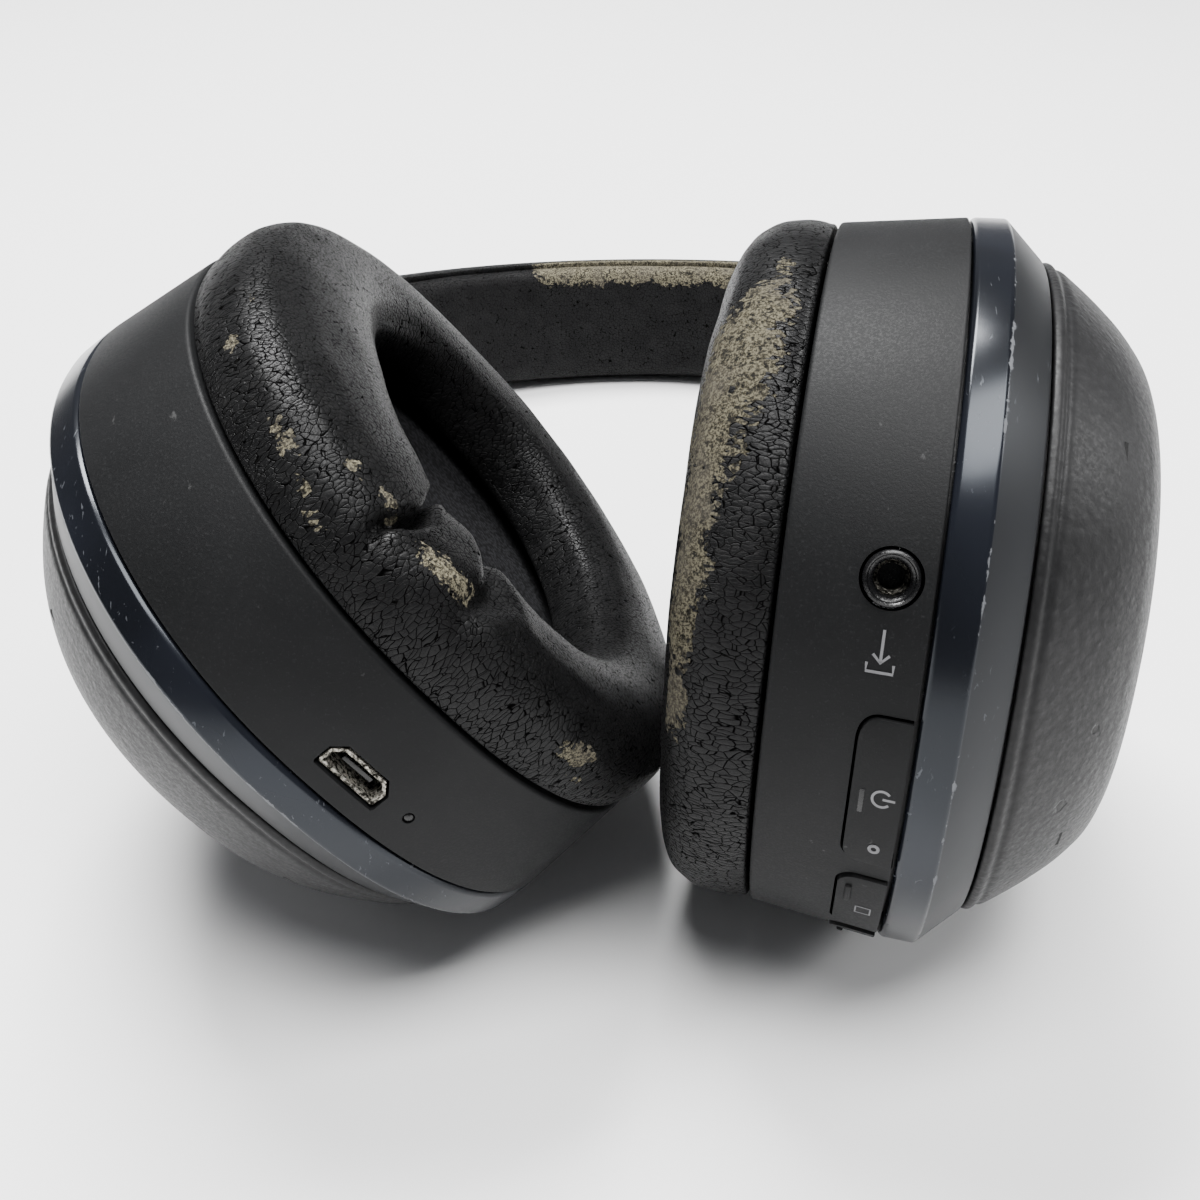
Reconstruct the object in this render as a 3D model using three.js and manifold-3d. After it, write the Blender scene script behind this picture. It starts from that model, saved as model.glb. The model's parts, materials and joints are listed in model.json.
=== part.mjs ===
// Over ear headphones, lying on their rear side with both cups turned in.
// Millimetres, +Z up. X runs across the head (wearer's left is +X), Y towards the headband,
// Z towards the wearer's front. The origin is the middle of the footprint, on the table.
import * as THREE from 'three';
import { mergeVertices } from 'three/addons/utils/BufferGeometryUtils.js';
import Module from 'manifold-3d';

const wasm = await Module();
wasm.setup();

// ---------------------------------------------------------------- driving dimensions
const DEG = Math.PI / 180;
const GAP = 0.3;                    // air between pieces that touch

// Resting pose of the whole object on the table
const LIE_PITCH = -11.438 * DEG;      // the headband plane dips towards the far end
const LIE_ROLL = -1.725 * DEG;        // and leans a little to one side
const LIE_OFFSET = new THREE.Vector3(1.586, 86.358, 14.098);

// Cup outline: a superellipse, half sizes at its widest
const CUP_FRONT = 42.5;             // half size front to back
const CUP_TALL = 45.0;              // half size along the arm
const CUP_POWER = 2.24;
const CUP_STEPS = 36;

// Depths through a cup, outward from the seam between pad and housing
const PAD_DEPTH = 12.2;
const HOUSING_START = GAP;
const HOUSING_END = 15.1;
const RING_START = 15.4;
const RING_WIDEST = 19.4;
const RING_END = 24.0;
const COVER_START = 24.3;
const COVER_END = 38.4;
const WALL = 2.0;
const HOUSING_START_INSET = 2.0;
const HOUSING_END_INSET = 0.2;
const RING_END_INSET = 4.3;
const EAR_FRONT = 21.5;             // half size of the ear opening, front to back
const EAR_TALL = 27.0;              // and along the arm

// Drive unit
const DRIVER_RADIUS = 20;
const MAGNET_RADIUS = 10;

// Headband centre line: a wide arch, tighter shoulders, then straight ends
const BAND_INNER_RADIUS = 67.4;
const BAND_HALF_THICK = 5.5;
const BAND_HALF_WIDE = 12.6;
const ARCH_TURN = 45 * DEG;         // half the wide arch
const ARM_LEAN = 17.6 * DEG;        // the arms converge by this much on each side
const SHOULDER_RADIUS = 31.05;
const SLEEVE_TURN = 76 * DEG;       // where the band's padding stops and its end sleeve starts
const SLEEVE_STRAIGHT = 6.6;        // straight length of the sleeve past the shoulder

// Arm: heights along it from the fold hinge, plus is towards the band
const HINGE_BELOW = 28.1;           // fold hinge from the end of the shoulder bend
const STRIP_TOP = 32.5;
const STRIP_HALF_WIDE = 6;
const STRIP_HALF_THICK = 0.6;
const STRIP_FOOT = 5.4;
const BLOCK_TOP = 11;
const BLOCK_HALF_THICK = 4.2;
const BLOCK_HALF_WIDE = 9;
const HINGE_PIN_RADIUS = 1.3;
const BARREL_RADIUS = 4.0;
const BARREL_HALF_WIDE = 4.6;
const ARM_TOP = -5;
const ARM_FOOT = -20.5;
const POST_RADIUS = 3.0;
const POST_TOP = -11.3;
const SHOULDER_TOP = -21.7;
const SHOULDER_FOOT = -24;
const YOKE_HALF_THICK = 2.6;
const PIVOT_HEIGHT = -36.3;         // the tilt pins
const PIVOT_RADIUS = 1.0;
const RUNNING = 0.06;               // radial clearance of a turning pin

// Cup position: the tilt pins seen from the cup
const PIN_ABOVE_CENTRE = 34;
const PIN_DEPTH = 13.3;

// Rest angles
const SWIVEL_LEFT = 3.5 * DEG;
const SWIVEL_RIGHT = 39.2 * DEG;
const CUP_TILT = -10.4 * DEG;

// Controls and sockets: angle round the cup (0 is front, 270 degrees is the far end from the
// band) and depth
const CONTROL_DEPTH = 9.8;
const CONTROL_END = 14.9;
const BUTTONS = [
  { name: 'power_button', from: 250 * DEG, to: 271.5 * DEG },
  { name: 'noise_button', from: 227 * DEG, to: 246 * DEG },
  { name: 'ambient_button', from: 204 * DEG, to: 223 * DEG },
];
const JACK_ANGLE = 289 * DEG;
const USB_ANGLE = 269 * DEG;
const LIGHT_ANGLE = 259.5 * DEG;
const SOCKET_DEPTH = 10.9;

// ---------------------------------------------------------------- materials
const finish = (color, roughness, metalness = 0) =>
  new THREE.MeshStandardMaterial({ color, roughness, metalness });

const LEATHER = () => finish(0x141415, 0.5);
const HOUSING_PLASTIC = () => finish(0x1c1d1f, 0.62);
const RING_GLOSS = () => finish(0x23262e, 0.24);
const COVER_LEATHER = () => finish(0x222326, 0.55);
const DARK_PLASTIC = () => finish(0x17181a, 0.55);
const STEEL = () => finish(0xa9abae, 0.3, 1);
const CLOTH = () => finish(0x0d0d0e, 0.95);
const BOARD_GREEN = () => finish(0x1f4a2c, 0.6);
const MAGNET_METAL = () => finish(0x6d6f73, 0.35, 1);
const FILM = () => finish(0xb9b3a2, 0.4);
const FOIL = () => finish(0xb4b6ba, 0.35, 0.8);
const LIGHT_GUIDE = () => finish(0x4a1210, 0.4);

// ---------------------------------------------------------------- solid helpers
function toSolid(geometry) {
  const plain = geometry.clone();
  for (const key of Object.keys(plain.attributes)) {
    if (key !== 'position') plain.deleteAttribute(key);
  }
  const merged = mergeVertices(plain, 1e-4);
  const vertProperties = new Float32Array(merged.attributes.position.array);
  const triVerts = new Uint32Array(merged.index.array);
  return new wasm.Manifold(new wasm.Mesh({ numProp: 3, vertProperties, triVerts }));
}

function toGeometry(solid) {
  const mesh = solid.getMesh();
  const geometry = new THREE.BufferGeometry();
  geometry.setAttribute('position', new THREE.BufferAttribute(mesh.vertProperties, 3));
  geometry.setIndex(new THREE.BufferAttribute(mesh.triVerts, 1));
  geometry.computeVertexNormals();
  return geometry;
}

function place(geometry, matrix) {
  return geometry.clone().applyMatrix4(matrix);
}

function shifted(geometry, x, y, z) {
  return geometry.clone().translate(x, y, z);
}

// A box between two corners
function box(low, high) {
  const size = high.map((value, i) => value - low[i]);
  const centre = high.map((value, i) => (value + low[i]) / 2);
  return shifted(new THREE.BoxGeometry(...size), ...centre);
}

// A round bar along one axis, from one coordinate to the other
function bar(axis, radius, from, to, steps = 14) {
  const geometry = new THREE.CylinderGeometry(radius, radius, to - from, steps);
  geometry.translate(0, (from + to) / 2, 0);
  if (axis === 'x') geometry.rotateZ(-Math.PI / 2);
  if (axis === 'z') geometry.rotateX(Math.PI / 2);
  return geometry;
}

function signedVolume(points, index) {
  let total = 0;
  for (let i = 0; i < index.length; i += 3) {
    const [a, b, c] = [points[index[i]], points[index[i + 1]], points[index[i + 2]]];
    total += a.dot(new THREE.Vector3().crossVectors(b, c));
  }
  return total / 6;
}

// Joins rings of points into a closed skin. Without an outline the last ring joins the first.
// With a flat outline of one ring, both ends are capped.
function skin(rings, outline) {
  const count = rings[0].length;
  const points = rings.flat();
  const index = [];
  const bands = outline ? rings.length - 1 : rings.length;
  for (let i = 0; i < bands; i++) {
    const here = i * count;
    const next = ((i + 1) % rings.length) * count;
    for (let j = 0; j < count; j++) {
      const k = (j + 1) % count;
      index.push(here + j, next + j, next + k, here + j, next + k, here + k);
    }
  }
  if (outline) {
    const last = (rings.length - 1) * count;
    const turn = Math.sign(THREE.ShapeUtils.area(outline));
    for (const [a, b, c] of THREE.ShapeUtils.triangulateShape(outline, [])) {
      const face = THREE.ShapeUtils.area([outline[a], outline[b], outline[c]]);
      const [p, q] = Math.sign(face) === turn ? [b, c] : [c, b];
      index.push(a, p, q, last + a, last + q, last + p);
    }
  }
  if (signedVolume(points, index) < 0) index.reverse();
  const geometry = new THREE.BufferGeometry().setFromPoints(points);
  geometry.setIndex(index);
  return geometry;
}

// ---------------------------------------------------------------- cup helpers
// In a cup X is outward from the head, Y along the arm towards the band, Z to the front.
const softened = (value) => Math.sign(value) * Math.abs(value) ** (2 / CUP_POWER);

function ovalPoint(angle, depth, front, tall) {
  return new THREE.Vector3(depth, tall * softened(Math.sin(angle)), front * softened(Math.cos(angle)));
}

// A level of a cup profile: depth, then how far inside the widest outline it is
const level = (depth, inset) => [depth, CUP_FRONT - inset, CUP_TALL - inset];

function ovalRing([depth, front, tall], steps = CUP_STEPS) {
  return Array.from({ length: steps }, (_, i) =>
    ovalPoint(((i + 0.5) / steps) * 2 * Math.PI, depth, front, tall));
}

function ovalSolid(levels, capped, steps = CUP_STEPS) {
  const rings = levels.map((entry) => ovalRing(entry, steps));
  const outline = rings[0].map((point) => new THREE.Vector2(point.z, point.y));
  return skin(rings, capped ? outline : null);
}

function housingInset(depth) {
  const share = (depth - HOUSING_START) / (HOUSING_END - HOUSING_START);
  return HOUSING_START_INSET + share * (HOUSING_END_INSET - HOUSING_START_INSET);
}

// A block that follows the housing wall, between two angles, two depths and two heights
// below the wall's outer face
function wallPatch(from, to, start, end, outer, inner) {
  const steps = 8;
  const corner = (angle, depth, sink) => {
    const inset = housingInset(depth) + sink;
    return ovalPoint(angle, depth, CUP_FRONT - inset, CUP_TALL - inset);
  };
  const rings = Array.from({ length: steps + 1 }, (_, i) => {
    const angle = from + ((to - from) * i) / steps;
    return [
      corner(angle, start, outer),
      corner(angle, end, outer),
      corner(angle, end, inner),
      corner(angle, start, inner),
    ];
  });
  const outline = [[0, 0], [1, 0], [1, 1], [0, 1]].map(([x, y]) => new THREE.Vector2(x, y));
  return skin(rings, outline);
}

// A frame on the housing wall: its Y points out of the wall and its X outward from the head
function wallFrame(angle, depth) {
  const inset = housingInset(depth);
  const front = CUP_FRONT - inset;
  const tall = CUP_TALL - inset;
  const point = ovalPoint(angle, depth, front, tall);
  const slope = (value, half) =>
    (Math.sign(value) * Math.abs(value / half) ** (CUP_POWER - 1)) / half;
  const out = new THREE.Vector3(0, slope(point.y, tall), slope(point.z, front)).normalize();
  const along = new THREE.Vector3(1, 0, 0);
  const across = new THREE.Vector3().crossVectors(along, out);
  return new THREE.Matrix4().makeBasis(along, out, across).setPosition(point);
}

// A turned piece round the cup's axis, from a list of radius and depth pairs
function turned(profile, steps = 24) {
  const points = profile.map(([radius, depth]) => new THREE.Vector2(radius, depth));
  return new THREE.LatheGeometry(points, steps).rotateZ(-Math.PI / 2);
}

function mesh(name, geometry, material) {
  const part = new THREE.Mesh(geometry, material);
  part.name = name;
  return part;
}

// The two ends of something that reaches from one distance to another on a side, low first
const span = (side, from, to) => [side * from, side * to].sort((a, b) => a - b);

function cut(geometry, ...tools) {
  return tools.reduce((solid, tool) => solid.subtract(toSolid(tool)), toSolid(geometry));
}

// ---------------------------------------------------------------- cup pieces
const PLATE_INSET = 5.2;            // baffle and chassis, inside the housing wall
const BAFFLE_START = 2.4;
const BAFFLE_END = 3.8;
const SCRIM_START = 1.6;
const SCRIM_END = 2.1;
const CHASSIS_START = 18.2;
const CHASSIS_END = 19.6;
const COARSE_STEPS = 28;            // hidden ovals
const ROUND_STEPS = 18;             // round holes and bores

function earPad() {
  return ovalSolid([
    level(-GAP, 2.2),
    level(-0.3 * PAD_DEPTH, 1.4),
    level(-0.65 * PAD_DEPTH, 2.1),
    level(-0.9 * PAD_DEPTH, 5),
    level(-PAD_DEPTH, 9.4),
    level(-0.92 * PAD_DEPTH, 14.2),
    [-0.65 * PAD_DEPTH, EAR_FRONT + 0.6, EAR_TALL + 0.6],
    [-0.3 * PAD_DEPTH, EAR_FRONT, EAR_TALL],
    [-GAP, EAR_FRONT + 1, EAR_TALL + 1],
  ]);
}

const FLANGE_DEPTH = 1.9;
const FLANGE_INSET = 9;

function scrim() {
  const inset = FLANGE_INSET + 0.4;
  return ovalSolid([level(SCRIM_START, inset), level(SCRIM_END, inset)], true, COARSE_STEPS);
}

// Front plate: a wide ring with a round middle for the drive unit
function baffle() {
  const plate = ovalSolid([level(BAFFLE_START, PLATE_INSET), level(BAFFLE_END, PLATE_INSET)], true);
  const middle = bar('x', DRIVER_RADIUS - 2.4, BAFFLE_START - 1, BAFFLE_END + 1, ROUND_STEPS);
  return toGeometry(cut(plate, middle));
}

// Drive unit profiles: pairs of radius and depth
const BASKET_PROFILE = [
  [18.2, 4.1], [DRIVER_RADIUS, 4.1], [DRIVER_RADIUS, 6.2], [13.2, 9.6],
  [8, 9.6], [8, 8.6], [12.6, 8.6], [18.2, 5.6], [18.2, 4.1],
];
const DIAPHRAGM_PROFILE = [
  [0, 6.1], [8, 5.5], [12, 4.6], [17.9, 4.2], [17.9, 4.6], [12, 5.1], [8, 6.0], [0, 6.6],
];
const MAGNET_PROFILE = [
  [0, 9.9], [MAGNET_RADIUS, 9.9], [MAGNET_RADIUS, 13], [MAGNET_RADIUS - 1, 14], [0, 14],
];

const NECK_HALF_WIDE = 6;
const NOTCH_HALF_WIDE = 7.5;
const NOTCH_START = 10.4;
const NOTCH_END = 20.3;
const TEE_HALF_WIDE = 14;
const PIN_INNER = 9.6;
const PIN_OUTER = 18.4;
const LUG_HALF = 3;
const LUG_END = 30;                 // the lugs run into the housing wall

function neckNotch() {
  return box([NOTCH_START, 37, -NOTCH_HALF_WIDE], [NOTCH_END, 50, NOTCH_HALF_WIDE]);
}

// The open housing ring, with a pocket for each control, and two lugs for the tilt pins
function housing(pockets) {
  const outer = [level(HOUSING_START, HOUSING_START_INSET), level(HOUSING_END, HOUSING_END_INSET)];
  const shell = ovalSolid([
    ...outer,
    level(HOUSING_END, HOUSING_END_INSET + WALL),
    level(FLANGE_DEPTH, HOUSING_START_INSET + WALL),
    level(FLANGE_DEPTH, FLANGE_INSET),
    level(HOUSING_START, FLANGE_INSET),
  ]);
  const inside = toSolid(ovalSolid(outer, true));
  let solid = toSolid(shell);
  for (const side of [-1, 1]) {
    const ends = span(side, TEE_HALF_WIDE + 0.8, LUG_END);
    const lug = toSolid(box(
      [PIN_DEPTH - LUG_HALF, PIN_ABOVE_CENTRE - LUG_HALF, ends[0]],
      [HOUSING_END - 0.2, PIN_ABOVE_CENTRE + LUG_HALF, ends[1]],
    ));
    const hole = span(side, TEE_HALF_WIDE, PIN_OUTER + 0.6);
    const bore = shifted(bar('z', PIVOT_RADIUS + RUNNING, ...hole), PIN_DEPTH, PIN_ABOVE_CENTRE, 0);
    solid = solid.add(lug.intersect(inside)).subtract(toSolid(bore));
  }
  for (const pocket of [neckNotch(), ...pockets]) solid = solid.subtract(toSolid(pocket));
  return toGeometry(solid);
}

function trimRing() {
  const ring = ovalSolid([
    level(RING_START, 0.5),
    level(RING_START + 0.5, 0.15),
    level(RING_WIDEST, 0),
    level(RING_END, RING_END_INSET),
    level(RING_END, RING_END_INSET + WALL),
    level(RING_START, WALL + 0.7),
  ]);
  return toGeometry(cut(ring, neckNotch()));
}

// The leather covered outer bowl, open towards the cup, with a flat oval outer face
function outerCover() {
  const outside = ovalSolid([
    level(COVER_START, RING_END_INSET + 0.5),
    level(COVER_START + 0.8, RING_END_INSET + 0.3),
    level(COVER_START + 1.9, RING_END_INSET + 0.9),
    level(COVER_START + 9.6, 11.2),
    level(COVER_END - 2, 14.2),
    level(COVER_END - 0.6, 17.4),
    level(COVER_END, 22),
  ], true);
  const inside = ovalSolid([
    level(COVER_START - 1, RING_END_INSET + 2.2),
    level(COVER_START + 9.2, 13.4),
    level(COVER_END - WALL, 20),
  ], true, COARSE_STEPS);
  return toGeometry(cut(outside, inside));
}

// Inner plate that carries the circuit board, cut away round the yoke
function chassis() {
  const inset = PLATE_INSET + 0.2;
  const half = TEE_HALF_WIDE + 3;
  const plate = ovalSolid([level(CHASSIS_START, inset), level(CHASSIS_END, inset)], true);
  return toGeometry(cut(plate, box([CHASSIS_START - 1, 26, -half], [CHASSIS_END + 1, CUP_TALL, half])));
}

// Low and high corners of the flat inner pieces
const CIRCUIT_BOARD = [[16.2, -27, -24], [17.4, 14, 24]];
const BATTERY = [[20.2, -24, -15], [24.4, 8, 15]];
const TOUCH_RADIUS = 15;
const TOUCH_START = COVER_END - WALL - 1.4;
const TOUCH_END = COVER_END - WALL - 0.4;

// ---------------------------------------------------------------- controls and sockets
const BUTTON_PROUD = 0.35;
const BUTTON_CLEAR = 0.35;
const LIP_REACH = 1;                // the lip goes this far past each end of a button
const LIP_DEPTH = 1.2;              // and this far past its inner edge

function buttonPocket({ from, to }) {
  const turn = BUTTON_CLEAR / CUP_TALL;
  return wallPatch(from - turn, to + turn, CONTROL_DEPTH - BUTTON_CLEAR, HOUSING_END + 2, -3, 5);
}

// A curved key with a wider lip behind the wall that keeps it in
function button({ from, to }) {
  const turn = LIP_REACH / CUP_TALL;
  const key = wallPatch(from, to, CONTROL_DEPTH, CONTROL_END, -BUTTON_PROUD, WALL + 0.8);
  const lip = wallPatch(
    from - turn, to + turn, CONTROL_DEPTH - LIP_DEPTH, CONTROL_END, WALL + 0.45, WALL + 1.3,
  );
  return toSolid(key).add(toSolid(lip));
}

const JACK_RADIUS = 2.8;
const JACK_BORE = 1.8;
const JACK_LENGTH = 10;
const JACK_PROUD = 0.35;
const JACK_BORE_DEPTH = 8.5;

function jackSocket() {
  const body = bar('y', JACK_RADIUS, -JACK_LENGTH, JACK_PROUD, ROUND_STEPS);
  const bore = bar('y', JACK_BORE, -JACK_BORE_DEPTH, JACK_PROUD + 1, ROUND_STEPS);
  return place(toGeometry(cut(body, bore)), wallFrame(JACK_ANGLE, SOCKET_DEPTH));
}

const USB_HALF_WIDE = 3.9;
const USB_HALF_TALL = 1.45;
const USB_WALL = 0.35;
const USB_BACK = -5.6;              // heights from the housing wall's outer face
const USB_MOUTH = -0.3;
const TONGUE_LOW = [-0.5, -5.3, -2.2];
const TONGUE_HIGH = [0.1, -1.2, 2.2];

function usbSocket() {
  const body = box([-USB_HALF_TALL, USB_BACK, -USB_HALF_WIDE], [USB_HALF_TALL, USB_MOUTH, USB_HALF_WIDE]);
  const hollow = box(
    [-USB_HALF_TALL + USB_WALL, USB_BACK + 0.6, -USB_HALF_WIDE + USB_WALL],
    [USB_HALF_TALL - USB_WALL, USB_MOUTH + 1, USB_HALF_WIDE - USB_WALL],
  );
  const tongue = box(TONGUE_LOW, TONGUE_HIGH);
  const solid = cut(body, hollow).add(toSolid(tongue));
  return place(toGeometry(solid), wallFrame(USB_ANGLE, SOCKET_DEPTH));
}

const GUIDE_RADIUS = 0.55;
const GUIDE_LENGTH = 3;
const SOCKET_CUT = 8;               // how far a socket's opening is cut in from the wall

// The openings in the housing wall that a cup's controls and sockets need
function wallOpenings(left) {
  const round = (radius, depth, angle) =>
    place(bar('y', radius, -depth, 2, ROUND_STEPS), wallFrame(angle, SOCKET_DEPTH));
  if (left) return [...BUTTONS.map(buttonPocket), round(JACK_RADIUS + GAP, SOCKET_CUT, JACK_ANGLE)];
  const high = [USB_HALF_TALL + GAP, 2, USB_HALF_WIDE + GAP];
  const usb = place(box([-high[0], -SOCKET_CUT, -high[2]], high), wallFrame(USB_ANGLE, SOCKET_DEPTH));
  return [usb, round(GUIDE_RADIUS + 0.35, 2 * GUIDE_LENGTH, LIGHT_ANGLE)];
}

// ---------------------------------------------------------------- one cup
function cup(side) {
  const group = new THREE.Group();
  const add = (name, geometry, material) => group.add(mesh(`${name}_${side}`, geometry, material));
  const left = side === 'left';

  add('ear_pad', earPad(), LEATHER());
  add('scrim', scrim(), CLOTH());
  add('baffle', baffle(), DARK_PLASTIC());
  add('housing', housing(wallOpenings(left)), HOUSING_PLASTIC());
  add('driver_basket', turned(BASKET_PROFILE), DARK_PLASTIC());
  add('diaphragm', turned(DIAPHRAGM_PROFILE), FILM());
  add('magnet', turned(MAGNET_PROFILE), MAGNET_METAL());
  add('trim_ring', trimRing(), RING_GLOSS());
  add('outer_cover', outerCover(), COVER_LEATHER());
  add('chassis', chassis(), DARK_PLASTIC());
  add('circuit_board', box(...CIRCUIT_BOARD), BOARD_GREEN());
  for (const [name, end] of [['rear_pivot_pin', -1], ['front_pivot_pin', 1]]) {
    const pin = bar('z', PIVOT_RADIUS, ...span(end, PIN_INNER, PIN_OUTER));
    add(name, shifted(pin, PIN_DEPTH, PIN_ABOVE_CENTRE, 0), STEEL());
  }
  if (left) {
    for (const entry of BUTTONS) group.add(mesh(entry.name, toGeometry(button(entry)), HOUSING_PLASTIC()));
    group.add(mesh('jack_socket', jackSocket(), DARK_PLASTIC()));
  } else {
    const guide = bar('y', GUIDE_RADIUS, -GUIDE_LENGTH, 0.05, 12);
    const touchBoard = bar('x', TOUCH_RADIUS, TOUCH_START, TOUCH_END, ROUND_STEPS);
    group.add(mesh('usb_socket', usbSocket(), STEEL()));
    group.add(mesh('charge_light', place(guide, wallFrame(LIGHT_ANGLE, SOCKET_DEPTH)), LIGHT_GUIDE()));
    group.add(mesh('battery', box(...BATTERY), FOIL()));
    group.add(mesh('touch_board', touchBoard, BOARD_GREEN()));
  }
  return group;
}

// ---------------------------------------------------------------- arm pieces
// In an arm X is outward, Y along it towards the band with its zero on the fold hinge.
const CLEAR = 9;                    // reach of a cutter that goes right through an arm piece
const NOTCH_COUNT = 7;
const NOTCH_FIRST = 15;
const NOTCH_PITCH = 2.4;
const NOTCH_RADIUS = 0.7;
const RIVET_HEIGHT = 8;
const RIVET_RADIUS = 1.0;
const RIVET_HOLE = 1.3;
const ARM_HALF_THICK = 4.8;
const SWIVEL_PIN_RADIUS = 0.8;
const SWIVEL_PIN_LENGTH = 9.2;
const SWIVEL_PIN_HEIGHT = -15;
const SWIVEL_PIN_FRONT = 3;         // it passes the post's groove off centre
const GROOVE_HALF = 1.2;
const GROOVE_CUT = 0.9;
const COLLAR_RADIUS = 5.5;
const TEE_HALF_TALL = 3;

function sliderStrip() {
  const strip = box([-STRIP_HALF_THICK, STRIP_FOOT, -STRIP_HALF_WIDE],
    [STRIP_HALF_THICK, STRIP_TOP, STRIP_HALF_WIDE]);
  const notches = Array.from({ length: NOTCH_COUNT }, (_, i) =>
    shifted(bar('x', NOTCH_RADIUS, -CLEAR, CLEAR, 8), 0, NOTCH_FIRST + i * NOTCH_PITCH, STRIP_HALF_WIDE));
  const rivetHole = shifted(bar('x', RIVET_HOLE, -CLEAR, CLEAR, 16), 0, RIVET_HEIGHT, 0);
  return toGeometry(cut(strip, rivetHole, ...notches));
}

function roundedBlock(halfThick, foot, top, halfWide, radius) {
  const outline = new THREE.Shape();
  outline.moveTo(-halfThick + radius, foot);
  outline.lineTo(halfThick - radius, foot);
  outline.absarc(halfThick - radius, foot + radius, radius, -Math.PI / 2, 0);
  outline.lineTo(halfThick, top - radius);
  outline.absarc(halfThick - radius, top - radius, radius, 0, Math.PI / 2);
  outline.lineTo(-halfThick + radius, top);
  outline.absarc(-halfThick + radius, top - radius, radius, Math.PI / 2, Math.PI);
  outline.lineTo(-halfThick, foot + radius);
  outline.absarc(-halfThick + radius, foot + radius, radius, Math.PI, 1.5 * Math.PI);
  const geometry = new THREE.ExtrudeGeometry(outline, {
    depth: 2 * halfWide, bevelEnabled: false, curveSegments: 3,
  });
  return geometry.translate(0, 0, -halfWide);
}

// Clevis on the slider strip: a slot above for the strip, two ears below for the hinge pin
function hingeBlock() {
  const block = roundedBlock(BLOCK_HALF_THICK, -BLOCK_HALF_THICK, BLOCK_TOP, BLOCK_HALF_WIDE, 4);
  return toGeometry(cut(
    block,
    box([-CLEAR, -CLEAR, -BARREL_HALF_WIDE - GAP], [CLEAR, BARREL_RADIUS + 0.4, BARREL_HALF_WIDE + GAP]),
    box([-STRIP_HALF_THICK - GAP, STRIP_FOOT - 0.4, -STRIP_HALF_WIDE - GAP],
      [STRIP_HALF_THICK + GAP, BLOCK_TOP + 2, STRIP_HALF_WIDE + GAP]),
    bar('z', HINGE_PIN_RADIUS + RUNNING, -BLOCK_HALF_WIDE - 1, BLOCK_HALF_WIDE + 1),
    shifted(bar('x', RIVET_HOLE, -CLEAR, CLEAR, 16), 0, RIVET_HEIGHT, 0),
  ));
}

// Arm below the fold hinge: a barrel between the ears, then a socket for the yoke's post
function foldArm() {
  const barrel = toSolid(bar('z', BARREL_RADIUS, -BARREL_HALF_WIDE, BARREL_HALF_WIDE, 20));
  const neck = toSolid(box([-3, ARM_TOP - 2, -BARREL_HALF_WIDE], [3, 0, BARREL_HALF_WIDE]));
  const body = toSolid(roundedBlock(ARM_HALF_THICK, ARM_FOOT, ARM_TOP, BLOCK_HALF_WIDE, 1.6));
  const pinHole = bar('x', SWIVEL_PIN_RADIUS + RUNNING, -CLEAR, CLEAR, 12);
  const tools = [
    bar('z', HINGE_PIN_RADIUS + RUNNING, -BLOCK_HALF_WIDE - 1, BLOCK_HALF_WIDE + 1),
    bar('y', POST_RADIUS + RUNNING, ARM_FOOT - 2, POST_TOP + 0.5, ROUND_STEPS),
    shifted(pinHole, 0, SWIVEL_PIN_HEIGHT, SWIVEL_PIN_FRONT),
  ];
  let solid = barrel.add(neck).add(body);
  for (const tool of tools) solid = solid.subtract(toSolid(tool));
  return toGeometry(solid);
}

function swivelWasher() {
  return toGeometry(cut(
    bar('y', COLLAR_RADIUS, SHOULDER_TOP + GAP, ARM_FOOT - GAP, ROUND_STEPS),
    bar('y', POST_RADIUS + 0.2, SHOULDER_FOOT, ARM_TOP, ROUND_STEPS),
  ));
}

// Yoke: a post that turns in the arm, a narrow neck, and a bar that the cup tilts on
function yoke() {
  const teeEnds = [PIVOT_HEIGHT - TEE_HALF_TALL, PIVOT_HEIGHT + TEE_HALF_TALL];
  const tee = roundedBlock(YOKE_HALF_THICK, ...teeEnds, TEE_HALF_WIDE, 1.2);
  const grooveEnds = [SWIVEL_PIN_HEIGHT - GROOVE_HALF, SWIVEL_PIN_HEIGHT + GROOVE_HALF];
  const groove = toGeometry(cut(
    bar('y', POST_RADIUS + 1, ...grooveEnds, ROUND_STEPS),
    bar('y', POST_RADIUS - GROOVE_CUT, grooveEnds[0] - 1, grooveEnds[1] + 1, ROUND_STEPS),
  ));
  let solid = toSolid(bar('y', POST_RADIUS, SHOULDER_FOOT + 1, POST_TOP, ROUND_STEPS))
    .add(toSolid(bar('y', COLLAR_RADIUS, SHOULDER_FOOT, SHOULDER_TOP, ROUND_STEPS)))
    .add(toSolid(box([-YOKE_HALF_THICK, PIVOT_HEIGHT, -NECK_HALF_WIDE],
      [YOKE_HALF_THICK, SHOULDER_FOOT + 0.5, NECK_HALF_WIDE])))
    .add(toSolid(tee))
    .subtract(toSolid(groove));
  for (const side of [-1, 1]) {
    const ends = span(side, PIN_INNER - 0.5, TEE_HALF_WIDE + 1);
    const bore = shifted(bar('z', PIVOT_RADIUS + RUNNING, ...ends), 0, PIVOT_HEIGHT, 0);
    solid = solid.subtract(toSolid(bore));
  }
  return toGeometry(solid);
}

// ---------------------------------------------------------------- headband
const BAND_RADIUS = BAND_INNER_RADIUS + BAND_HALF_THICK;
const STRAIGHT_TURN = Math.PI / 2 + ARM_LEAN;

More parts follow.
